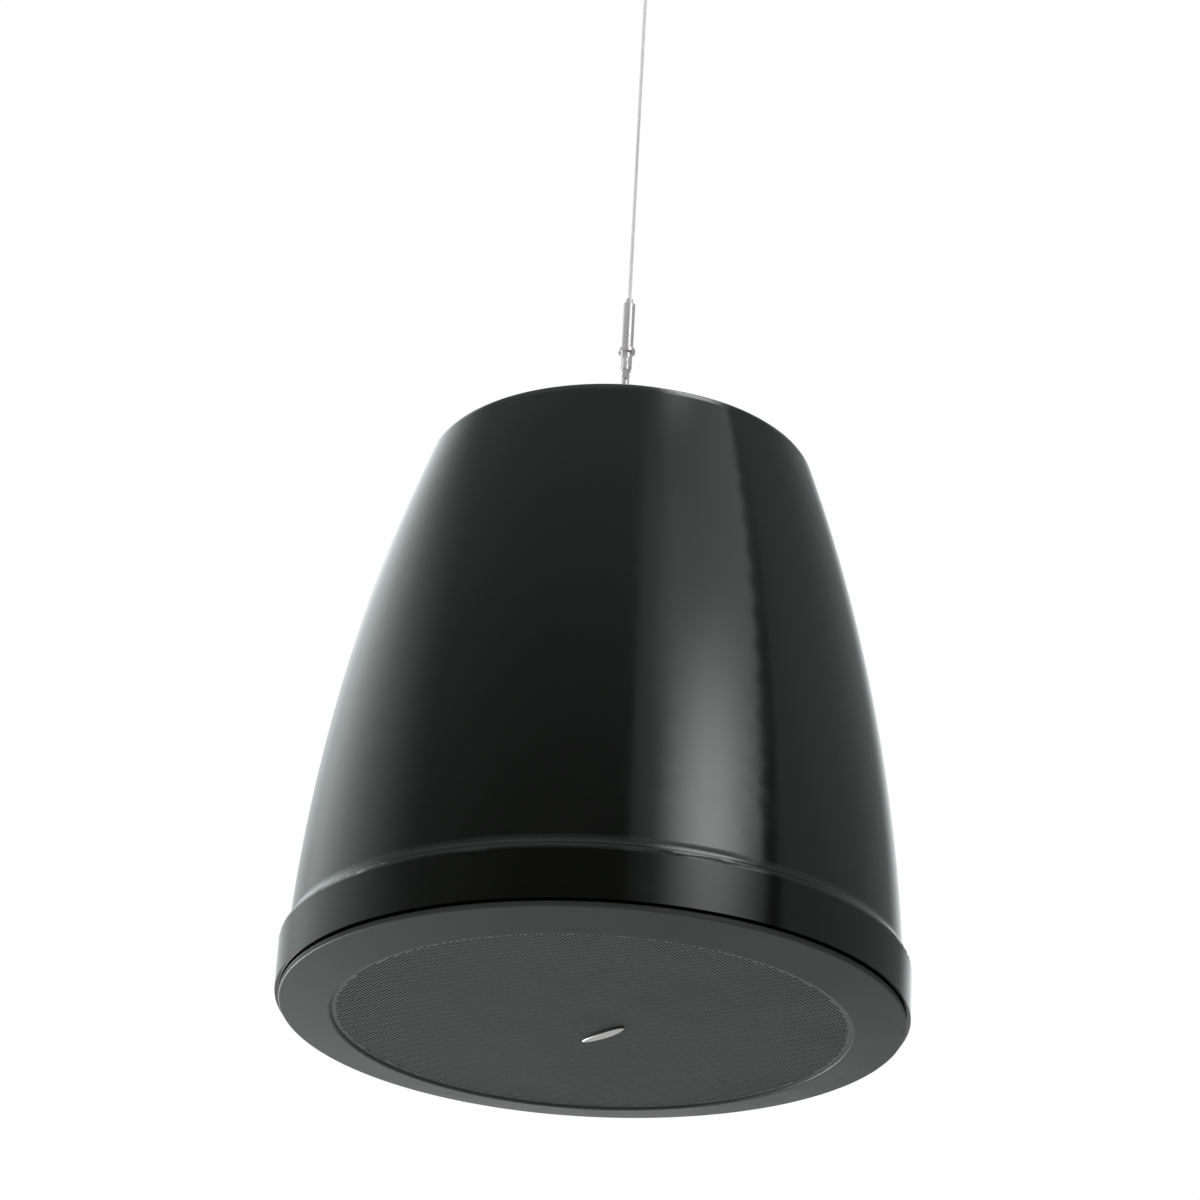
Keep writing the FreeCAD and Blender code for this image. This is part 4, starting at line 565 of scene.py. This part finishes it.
@dataclass
class WireRope:
    """The taut wire rope: six lobed strands laid round a straight one."""

    wardrobe: Wardrobe
    low: float = row(381.90)
    high: float = row(612.80685)
    exit_height: float = row(408.20685)
    end_run: float = 0.012
    resolution: int = 80
    radius: float = 0.001
    lay: float = 0.013
    strands: int = 6
    lobes: int = 6
    groove: float = 0.16

    def route(self) -> list[Vector]:
        """Give the rope's centre line.

        Returns:
            The points of the route's smooth curve, from the gripper to the ferrule.
        """
        heights = (self.low, self.low + self.end_run, self.exit_height, self.high - self.end_run,
                   self.high)
        curve = bpy.data.curves.new("wire_rope_route", "CURVE")
        curve.dimensions = "3D"
        curve.resolution_u = self.resolution
        spline = curve.splines.new("NURBS")
        spline.points.add(len(heights) - 1)
        for point, height in zip(spline.points, heights):
            point.co = (0.0, 0.0, height, 1.0)
        spline.order_u = 3
        spline.use_endpoint_u = True
        bare = bpy.data.objects.new("wire_rope_route", curve)
        mesh = bpy.data.meshes.new_from_object(bare)
        points = [vertex.co.copy() for vertex in mesh.vertices]
        bpy.data.objects.remove(bare)
        bpy.data.curves.remove(curve)
        bpy.data.meshes.remove(mesh)
        return points

    def strand(self, model: Model, path: list[Vector], offset: float, turn: float) -> None:
        """Lay one strand along the route.

        Args:
            model: The model that takes the strand.
            path: The route's points.
            offset: The strand's distance from the middle.
            turn: The strand's place round the middle at the start, in radians.
        """
        thick = self.radius / 3.0
        rings, run, last = [], 0.0, path[0]
        for point in path:
            run += (point - last).length
            last = point
            laid = math.tau * run / self.lay
            middle = point + offset * heading(turn + laid)
            rings.append([
                middle + thick * (1.0 - self.groove * (side % 2)) * heading(angle - 2 * laid)
                for side, angle in enumerate(around(2 * self.lobes))
            ])
        model.tube(rings)

    def build(self) -> bpy.types.Object:
        """Returns:
            The rope's piece.
        """
        path = self.route()
        model = Model()
        self.strand(model, path, 0.0, 0.0)
        for turn in around(self.strands):
            self.strand(model, path, self.radius * 2 / 3, turn)
        rope = self.wardrobe.piece("wire_rope_strands", model.finish("wire_rope_strands"),
                                   "hanger", "rope_steel", "wire_rope")
        return rope


@dataclass
class GripperSpring:
    """The coil spring under the gripper's plunger, which the plunger presses together."""

    wardrobe: Wardrobe
    low: float = -0.24008
    high: float = -0.22395
    coil_radius: float = 0.00175
    wire_radius: float = 0.00025
    turns: int = 5
    steps: int = 32
    sides: int = 10
    keep: float = 0.86

    def build(self) -> bpy.types.Object:
        """Wind the spring.

        Returns:
            The spring's piece.
        """
        rise = (self.high - self.low) / (self.turns * self.steps)
        rings = []
        for step in range(self.turns * self.steps + 1):
            outwards = heading(math.tau * step / self.steps)
            middle = self.coil_radius * outwards + (self.low + rise * step) * UP
            rings.append([
                middle + self.wire_radius * (math.cos(side) * outwards + math.sin(side) * UP)
                for side in around(self.sides)
            ])
        model = Model()
        model.tube(rings)
        spring = self.wardrobe.piece("gripper_spring_coil", model.finish("gripper_spring_coil"),
                                     "hanger", "chromed", "gripper_spring")
        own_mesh(spring)
        return spring


@dataclass
class PerforatedSheet:
    """The finely perforated steel of the grille, in two halves.

    The shares count in hole pitches: how far the seam lies beside the middle, how much of the rim
    has no cell, how far past the holes the rim is rounded, and how near the seam it isn't.
    """

    wardrobe: Wardrobe
    radius: float = 0.13155
    drilled: float = 0.1262
    pitch: float = 0.0022
    hole: float = 0.00148
    thickness: float = 0.0006
    low: float = row(-2.8)

    ROW_SHARE = math.sqrt(3) / 2
    SEAM_SHARE = 0.25
    RIM_SHARE = 0.45
    ROUNDED_SHARE = 1.2
    STRAIGHT_SHARE = 1.5

    def cell(self, filled: bool) -> bpy.types.Object:
        """Draw the steel of one hole: three bridges and two webs between its neighbours.

        Args:
            filled: True for a blank cell, which has no hole.

        Returns:
            An object with the flat cell at height 0.
        """
        corner = self.hole / math.sqrt(3)

        def point(towards: int | None, angle: int) -> Place:
            """Give a corner of this hole, or of the neighbour that lies towards an angle."""
            shift = 0.0 if towards is None else self.pitch
            way, turn = math.radians(towards or 0), math.radians(angle)
            return (shift * math.cos(way) + corner * math.cos(turn),
                    shift * math.sin(way) + corner * math.sin(turn), 0.0)

        faces = [[point(None, way - 30), point(way, way + 210), point(way, way + 150),
                  point(None, way + 30)] for way in (0, 60, 120)]
        faces += [[point(None, way + 30), point(way, way + 150), point(way + 60, way + 270)]
                  for way in (0, 60)]
        if filled:
            faces.append([point(None, angle) for angle in range(30, 390, 60)])
        corners, sides = [], []
        for face in faces:
            sides.append(list(range(len(corners), len(corners) + len(face))))
            corners += face
        mesh = bpy.data.meshes.new("cell")
        mesh.from_pydata(corners, [], sides)
        cell = bpy.data.objects.new("cell", mesh)
        bpy.context.scene.collection.objects.link(cell)
        return cell

    def laid(self, grower: Grower) -> Socket:
        """Lay the cells of one half on a staggered grid.

        Args:
            grower: The modifier's tree.

        Returns:
            The socket with the flat plate.
        """
        given, pitch = grower.given, grower.given["Pitch"]
        height = grower.product(pitch, self.ROW_SHARE)
        count = 2 * int(self.radius / (self.pitch * self.ROW_SHARE)) + 3
        grid = grower.add("GeometryNodeMeshGrid", {
            "Size X": grower.product(pitch, count - 1), "Vertices X": count,
            "Size Y": grower.product(height, count - 1), "Vertices Y": count})
        spot = grower.add("ShaderNodeSeparateXYZ", {0: grower.place}).outputs
        line = grower.math("ROUND", grower.math("DIVIDE", spot["Y"], height))
        odd = grower.math("ABSOLUTE", grower.math("MODULO", line, 2.0))
        shift = grower.add("ShaderNodeCombineXYZ", {"X": grower.product(pitch, 0.5, odd)})
        staggered = grower.add("GeometryNodeSetPosition", {
            "Geometry": grid.outputs["Mesh"], "Offset": shift.outputs[0]}).outputs[0]
        reach = grower.add("ShaderNodeVectorMath", {0: grower.place},
                           operation="LENGTH").outputs["Value"]
        beside = grower.math("ADD", spot["X"], grower.product(pitch, self.SEAM_SHARE))
        half = grower.math("GREATER_THAN", grower.product(beside, given["Side"]), 0.0)
        drilled = grower.product(half, grower.math("LESS_THAN", reach, given["Drilled Radius"]))
        edge = grower.math("SUBTRACT", given["Radius"], grower.product(pitch, self.RIM_SHARE))
        whole = grower.product(half, grower.math("LESS_THAN", reach, edge))
        blank = grower.math("SUBTRACT", whole, drilled)
        return grower.merged(grower.instances(staggered, "Punched", Selection=drilled),
                             grower.instances(staggered, "Blank", Selection=blank))

    def rounded(self, grower: Grower, plate: Socket) -> Socket:
        """Move the rim's jagged edge out to the sheet's own radius.

        Args:
            grower: The modifier's tree.
            plate: The flat plate.

        Returns:
            The socket with the plate and its round rim.
        """
        given, pitch = grower.given, grower.given["Pitch"]
        far = grower.add("ShaderNodeVectorMath", {0: grower.place},
                         operation="LENGTH").outputs["Value"]
        outer = grower.math("GREATER_THAN", far, grower.math(
            "ADD", given["Drilled Radius"], grower.product(pitch, self.ROUNDED_SHARE)))
        neighbours = grower.add("GeometryNodeInputMeshEdgeNeighbors").outputs[0]
        lone = grower.add("GeometryNodeFieldOnDomain", {
            "Value": grower.math("COMPARE", neighbours, 1.0, 0.1),
        }, domain="EDGE", data_type="FLOAT").outputs[0]
        open_edge = grower.math("GREATER_THAN", lone, 0.0)
        across = grower.add("ShaderNodeSeparateXYZ", {0: grower.place}).outputs["X"]
        aside = grower.math("GREATER_THAN", grower.math("ABSOLUTE", across),
                            grower.product(pitch, self.STRAIGHT_SHARE))
        outwards = grower.add("ShaderNodeVectorMath", {0: grower.place}, operation="NORMALIZE")
        on_rim = grower.add("ShaderNodeVectorMath", {
            0: outwards.outputs["Vector"], "Scale": given["Radius"]}, operation="SCALE")
        return grower.add("GeometryNodeSetPosition", {
            "Geometry": plate, "Selection": grower.product(outer, open_edge, aside),
            "Position": on_rim.outputs[0]}).outputs[0]

    def tree(self) -> Grower:
        """Build the tree that lays the cells, rounds the rim and thickens the plate.

        Returns:
            The finished tree.
        """
        sizes = ("Pitch", "Drilled Radius", "Radius", "Thickness", "Height", "Side")
        grower = Grower("perforation", {**dict.fromkeys(sizes, "Float"), "Punched": "Object",
                                        "Blank": "Object"})
        rim = self.rounded(grower, self.laid(grower))
        raised = grower.add("GeometryNodeExtrudeMesh", {
            "Mesh": rim, "Offset": UP, "Offset Scale": grower.given["Thickness"],
            "Individual": False}).outputs["Mesh"]
        under = grower.add("GeometryNodeFlipFaces", {"Mesh": rim}).outputs["Mesh"]
        lift = grower.add("ShaderNodeCombineXYZ", {"Z": grower.given["Height"]}).outputs[0]
        grower.close(grower.add("GeometryNodeTransform", {
            "Geometry": grower.merged(under, raised), "Translation": lift}).outputs[0])
        return grower

    def build(self) -> list[bpy.types.Object]:
        """Make both halves as plain meshes.

        Returns:
            The two pieces.
        """
        grower = self.tree()
        cells = {"Punched": self.cell(False), "Blank": self.cell(True)}
        sizes = {"Pitch": self.pitch, "Drilled Radius": self.drilled, "Radius": self.radius,
                 "Thickness": self.thickness, "Height": self.low,
                 "Material": self.wardrobe.materials["grille_paint"], **cells}
        pieces = [
            self.wardrobe.piece(f"perforated_sheet_{name}", grower.grow({**sizes, "Side": side}),
                                "speaker", "grille_paint", "grille_sheet")
            for name, side in (("right", 1.0), ("left", -1.0))
        ]
        for cell in cells.values():
            bpy.data.objects.remove(cell)
        return pieces


@dataclass
class Badge:
    """The small tapered bar on the grille: a facetted plate on a dark bed, without lettering. The
    bed is painted shade: its black sides stand for the shadow along the bar's base.
    """

    wardrobe: Wardrobe
    middle: tuple[float, float] = (0.006, 0.0115)
    turn: float = math.radians(-50.0)
    half_length: float = 0.0155
    half_width: float = 0.003
    tip: float = 0.0003
    taper: tuple[float, float] = (2.4, 0.7)
    high: float = row(-2.8)
    seam: float = row(-3.9)
    low: float = row(-4.6)
    lip: float = 0.0001
    bevel: float = 0.0002
    bevel_inset: float = 0.0004
    crest: float = 0.15
    fall: float = 0.0005
    stations: int = 24

    def outline(self, share: float, inset: float) -> tuple[float, float]:
        """Give the bar's half width and its place along the bar.

        Args:
            share: The place along the bar, from -1 to 1.
            inset: How far the outline is drawn in.

        Returns:
            The place and the half width, in metres.
        """
        wide = (1.0 - abs(share) ** self.taper[0]) ** self.taper[1]
        return (share * (self.half_length - inset),
                self.tip + (self.half_width - inset - self.tip) * wide)

    def placed(self, along: float, across: float, height: float) -> Vector:
        """Turn a point of the bar into its place on the grille."""
        cosine, sine = math.cos(self.turn), math.sin(self.turn)
        return Vector((self.middle[0] + along * cosine - across * sine,
                       self.middle[1] + along * sine + across * cosine, height))

    def layer(self, name: str, slot: str, levels: list[tuple[float, float]],
              fall: float = 0.0) -> bpy.types.Object:
        """Build one layer of the bar.

        Args:
            name: The piece's name.
            slot: The record's slot of its finish.
            levels: Heights with the outline's inset at each, from the top down.
            fall: How far the underside falls away from its crest to the tips.

        Returns:
            The layer's piece.
        """
        model = Model()
        shares = [-math.cos(math.pi * place / self.stations) for place in range(self.stations + 1)]
        sides = [(1.0, share) for share in shares] + [(-1.0, share) for share in shares[-2:0:-1]]
        rings = []
        for number, (height, inset) in enumerate(levels):
            points = []
            for side, share in sides:
                along, across = self.outline(share, inset)
                drop = fall * abs(share - self.crest) / (1.0 + abs(self.crest)) if number else 0.0
                points.append(self.placed(along, side * across, height + drop))
            rings.append(points)
        model.tube(rings)
        return self.wardrobe.piece(name, model.finish(name), "speaker", slot, "badge_bar")

    def build(self) -> list[bpy.types.Object]:
        """Make the bed, which is painted shade along the bar's base, and the plate.

        Returns:
            The two pieces.
        """
        return [
            # The bed is painted shade: a black layer whose sides darken the bar's base where
            # shadow falls.
            self.layer("badge_bed", "inner_plastic", [(self.high, 0.0), (self.seam, 0.0)]),
            self.layer("badge_plate", "badge_metal", [
                (self.seam, self.lip), (self.low + self.bevel, self.lip),
                (self.low, self.bevel_inset)], self.fall),
        ]


class Layout(Enum):
    """How a set of screws is laid out."""

    CIRCLE = "circle"
    GRID = "grid"


@dataclass
class ScrewSet:
    """One set of equal screws: pan heads with a six-lobed recess and a rolled thread.

    The reach is the circle's radius or the grid's width, and the depth is the grid's other side.
    """

    wardrobe: Wardrobe
    node: str
    layout: Layout
    count: int
    reach: float
    top: float
    length: float
    depth: float = 0.0
    shank: float = 0.0016
    head: float = 0.0033
    head_depth: float = 0.0022
    head_up: bool = True
    sides: int = 24

    LOBES = 6
    LOBE = 0.16
    RIM_LOBE = 0.14
    RECESS_WIDTH = 0.42
    RECESS_DEPTH = 0.6
    THREAD_PITCH = 0.5
    THREAD_ROOT = 0.84
    POINT = 0.4
    SEED = 11

    def circle(self, radius: float, height: float, lobe: float = 0.0) -> list[Vector]:
        """Draw one ring, round or with lobes.

        Args:
            radius: The ring's radius.
            height: Its height.
            lobe: How far the lobes reach, as a share of the radius.

        Returns:
            The ring's points.
        """
        points = []
        for angle in around(self.sides):
            wide = radius * (1.0 + lobe * math.cos(self.LOBES * angle))
            points.append(Vector((wide * math.cos(angle), wide * math.sin(angle), height)))
        return points

    def template(self) -> bpy.types.Object:
        """Turn one screw, with its head's top at height 0 and its tip below.

        Returns:
            An object with the screw.
        """
        deep, recess = self.head_depth * self.RECESS_DEPTH, self.head * self.RECESS_WIDTH
        rings = [self.circle(*ring) for ring in (
            (recess * 0.9, -deep, self.LOBE), (recess, -deep * 0.9, self.LOBE),
            (recess, -0.0001, self.LOBE), (recess * 1.08, 0.0, self.RIM_LOBE),
            (self.head * 0.72, 0.0), (self.head * 0.93, -0.0003), (self.head, -0.0008),
            (self.head, -self.head_depth), (self.shank, -self.head_depth))]
        pitch = self.shank * self.THREAD_PITCH
        height = -self.head_depth - pitch
        while height > -self.length + 2 * pitch:
            rings += [self.circle(self.shank, height),
                      self.circle(self.shank * self.THREAD_ROOT, height - pitch / 2)]
            height -= pitch
        rings.append(self.circle(self.shank * self.POINT, -self.length))
        model = Model()
        model.tube(rings)
        screw = bpy.data.objects.new("screw", model.finish("screw"))
        bpy.context.scene.collection.objects.link(screw)
        return screw

    def tree(self) -> Grower:
        """Build the tree that sets the screws on their places.

        Returns:
            The finished tree.
        """
        grower = Grower("screw_places", {
            "Count": "Int", **dict.fromkeys(("Reach", "Depth", "Height", "Tumble"), "Float"),
            "Screw": "Object"})
        given = grower.given
        if self.layout is Layout.CIRCLE:
            places = grower.add("GeometryNodeMeshCircle", {
                "Vertices": given["Count"], "Radius": given["Reach"]})
        else:
            places = grower.add("GeometryNodeMeshGrid", {
                "Size X": given["Reach"], "Size Y": given["Depth"], "Vertices X": 2,
                "Vertices Y": 2})
        lift = grower.add("ShaderNodeCombineXYZ", {"Z": given["Height"]}).outputs[0]
        level = grower.add("GeometryNodeSetPosition", {
            "Geometry": places.outputs[0], "Offset": lift}).outputs[0]
        spin = grower.add("FunctionNodeRandomValue", {2: 0.0, 3: 6.28, "Seed": self.SEED})
        turned = grower.add("ShaderNodeCombineXYZ", {"X": given["Tumble"], "Z": spin.outputs[1]})
        grower.close(grower.instances(level, "Screw", Rotation=turned.outputs[0]))
        return grower

    def build(self) -> bpy.types.Object:
        """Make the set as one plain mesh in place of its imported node.

        Returns:
            The piece.
        """
        screw = self.template()
        mesh = self.tree().grow({
            "Count": self.count, "Reach": self.reach, "Depth": self.depth, "Height": self.top,
            "Tumble": 0.0 if self.head_up else math.pi, "Screw": screw,
            "Material": self.wardrobe.materials["screw_steel"]})
        bpy.data.objects.remove(screw)
        return self.wardrobe.piece(f"{self.node}_threaded", mesh, "speaker", "screw_steel",
                                   self.node)


def screw_sets(wardrobe: Wardrobe) -> list[ScrewSet]:
    """List the speaker's screws.

    Args:
        wardrobe: The materials.

    Returns:
        One entry for each set, with its place and sizes.
    """
    return [
        ScrewSet(wardrobe, "top_cover_screws", Layout.CIRCLE, count=4, reach=0.0625,
                 top=row(319.0), length=0.018),
        ScrewSet(wardrobe, "bracket_screws", Layout.GRID, count=4, reach=0.042, depth=0.024,
                 top=row(310.7), length=0.0147, shank=0.0025, head=0.0045, head_depth=0.0027),
        ScrewSet(wardrobe, "baffle_screws", Layout.CIRCLE, count=8, reach=0.141,
                 top=row(11.8), length=0.0242, head_up=False),
        ScrewSet(wardrobe, "driver_screws", Layout.CIRCLE, count=4, reach=0.082,
                 top=row(6.8), length=0.0122, head_up=False),
    ]


@dataclass
class ScrimCloth:
    """The thin black cloth stretched behind the perforated sheet."""

    wardrobe: Wardrobe
    radius: float = 0.1314
    low: float = row(-1.78)
    high: float = row(-1.38)
    rings: int = 40
    sectors: int = 120
    heart: float = 0.002
    ripple: float = 0.00003
    ripple_rates: tuple[float, float] = (420.0, 380.0)

    def circle(self, share: float, height: float) -> list[Vector]:
        """Draw one ring of the cloth, with the faint ripples of a stretched weave.

        Args:
            share: The ring's share of the cloth's radius.
            height: The ring's height.

        Returns:
            The ring's points.
        """
        points = []
        for angle in around(self.sectors):
            x, y = (self.radius * share * way(angle) for way in (math.cos, math.sin))
            wave = math.sin(x * self.ripple_rates[0]) * math.sin(y * self.ripple_rates[1])
            points.append(Vector((x, y, height + self.ripple * wave * (1.0 - share ** 4))))
        return points

    def build(self) -> bpy.types.Object:
        """Returns:
            The cloth's piece.
        """
        shares = [max(place / self.rings, self.heart) for place in range(self.rings + 1)]
        model = Model()
        model.tube([self.circle(share, self.low) for share in shares]
                   + [self.circle(share, self.high) for share in reversed(shares)])
        cloth = self.wardrobe.piece("scrim_cloth", model.finish("scrim_cloth"), "speaker",
                                    "scrim_cloth", "grille_scrim")
        return cloth


@dataclass(frozen=True)
class Panel:
    """One bright panel of the studio, as the glossy shell mirrors it.

    Each span gives the angles, in degrees, where the panel starts, is full, is still full and has
    ended. The turn is the place round the shell, from its front towards the right, that mirrors
    the panel to someone who looks up from the front. The elevation counts from the horizon.
    """

    turn: Span
    elevation: Span
    strength: float


@dataclass(frozen=True)
class Lamp:
    """One soft square lamp, which hangs at a place and faces a target."""

    name: str
    place: Place
    target: Place
    width: float
    power: float
    mirrored: bool = False

    def hang(self) -> None:
        """Hang the lamp where no camera sees it."""
        light = bpy.data.lights.new(self.name, "AREA")
        light.shape, light.size, light.energy = "SQUARE", self.width, self.power
        lamp = bpy.data.objects.new(self.name, light)
        lamp.location = self.place
        ahead = Vector(self.target) - Vector(self.place)
        lamp.rotation_euler = ahead.to_track_quat("-Z", "Y").to_euler()
        lamp.visible_camera = False
        lamp.visible_glossy = self.mirrored
        bpy.context.scene.collection.objects.link(lamp)


@dataclass
class Studio:
    """A pale studio: a white surround, soft panels and a floor far below.

    The zenith span says between which elevations the base glow rises from dark to overhead, and
    the far span how much of it is left ahead of the camera. The backdrop span says where the
    bright backdrop starts. The glance is what turns a mirrored direction into a place round the
    shell, for the photo's own camera.
    """

    level: float = 0.8
    dark: float = 0.025
    overhead: float = 0.42
    zenith_span: tuple[float, float] = (12.0, 75.0)
    far_span: Span = (0.0, 0.5, 1.0, 0.5)
    backdrop: float = 0.9
    backdrop_span: tuple[float, float] = (0.74, 0.95)
    gloss_tint: Colour = (0.93, 1.0, 0.99)
    floor_height: float = -3.0
    floor_half: float = 30.0
    glance: float = 0.906
    panels: tuple[Panel, ...] = field(default_factory=lambda: (
        Panel((4.3, 6.3, 30.5, 32.5), (15, 32, 40, 75), 0.4),
        Panel((6, 14, 30.5, 32.5), (15, 32, 40, 75), 0.65),
        Panel((9, 20, 20, 33), (14, 29, 28, 48), 4.6),
        Panel((8, 18, 24, 33), (60, 68, 95, 100), 3.0),
        Panel((34, 35.5, 100, 110), (10, 24, 30, 58), 0.27),
        Panel((-90, -66, -67, -34), (8, 27, 33, 56), 1.4),
        Panel((-66, -46, -44, -10), (4, 20, 33, 70), 0.1),
    ))
    lamps: tuple[Lamp, ...] = field(default_factory=lambda: (
        Lamp("key_softbox", (-1.8, -1.6, 1.0), (0.0, 0.0, -0.4), 1.6, 30.0),
        Lamp("low_fill", (-0.85, 0.75, -1.0), (-0.1, 0.0, -0.62), 0.6, 14.0, mirrored=True),
    ))

    def glow(self, graph: Graph) -> Socket:
        """Work out how bright the world is in the shell's gloss.

        Args:
            graph: The world's tree.

        Returns:
            The socket with the brightness of each direction.
        """
        place = graph.add("ShaderNodeTexCoord").outputs["Generated"]
        way = graph.add("ShaderNodeSeparateXYZ", {0: place}).outputs
        ahead = graph.math("SUBTRACT", self.glance, way["Y"])
        turn = graph.math("DEGREES", graph.math("ARCTAN2", way["X"], ahead))
        elevation = graph.math("DEGREES", graph.math("ARCSINE", way["Z"]))
        glow = graph.product(graph.ramp(elevation, *self.zenith_span, self.dark, self.overhead),
                             graph.ramp(way["Y"], *self.far_span))
        far = graph.ramp(way["Y"], *self.backdrop_span, 0.0, self.backdrop)
        glow = graph.math("ADD", glow, far)
        for panel in self.panels:
            edges = []
            for angle, span in ((turn, panel.turn), (elevation, panel.elevation)):
                start, full, still, end = span
                edges += [graph.ramp(angle, start, full), graph.ramp(angle, still, end, 1.0, 0.0)]
            glow = graph.math("ADD", glow, graph.product(panel.strength, *edges))
        return glow

    def surround(self) -> None:
        """Make the world: white behind the object, and panels in its gloss."""
        world = bpy.data.worlds.new("studio_surround")
        bpy.context.scene.world = world
        world.use_nodes = True
        graph = Graph(world.node_tree)
        plain, white, mirrored = (
            graph.add("ShaderNodeBackground", {"Color": colour, "Strength": strength}).outputs[0]
            for colour, strength in ((WHITE, self.level), (WHITE, 1.0),
                                     ((*self.gloss_tint, 1.0), self.glow(graph))))
        path = graph.add("ShaderNodeLightPath").outputs
        gloss = graph.add("ShaderNodeMixShader", {0: path["Is Glossy Ray"], 1: plain, 2: mirrored})
        seen = graph.add("ShaderNodeMixShader", {0: path["Is Camera Ray"], 1: gloss.outputs[0],
                                                 2: white})
        graph.add("ShaderNodeOutputWorld", {"Surface": seen.outputs[0]})

    def floor(self) -> None:
        """Lay the plain pale floor."""
        mesh = bpy.data.meshes.new("studio_floor")
        corners = ((-1, -1), (1, -1), (1, 1), (-1, 1))
        mesh.from_pydata([(self.floor_half * x, self.floor_half * y, self.floor_height)
                          for x, y in corners], [], [(0, 1, 2, 3)])
        paint = Finish("pale_floor", Pattern.GRAIN, (0.8, 0.8, 0.79), (0.83, 0.83, 0.82),
                       0.8, 0.01, 0.00002, mottle=0.8)
        mesh.materials.append(paint.build())
        floor = bpy.data.objects.new("studio_floor", mesh)
        bpy.context.scene.collection.objects.link(floor)

    def build(self) -> None:
        """Set the surround, the floor and the lamps."""
        self.surround()
        self.floor()
        for lamp in self.lamps:
            lamp.hang()


def main() -> None:
    """Build the camera, the rope, the dressed speaker and the studio, in that order."""
    logging.basicConfig(level=logging.INFO, format="%(name)s: %(message)s")
    bpy.context.scene.view_settings.view_transform = "Standard"
    PhotoCamera().build()
    wardrobe = Wardrobe()
    WireRope(wardrobe).build()
    GripperSpring(wardrobe).build()
    wardrobe.dress_nodes()
    PerforatedSheet(wardrobe).build()
    ScrimCloth(wardrobe).build()
    Badge(wardrobe).build()
    for screws in screw_sets(wardrobe):
        screws.build()
    Studio().build()


if __name__ == "__main__":
    main()
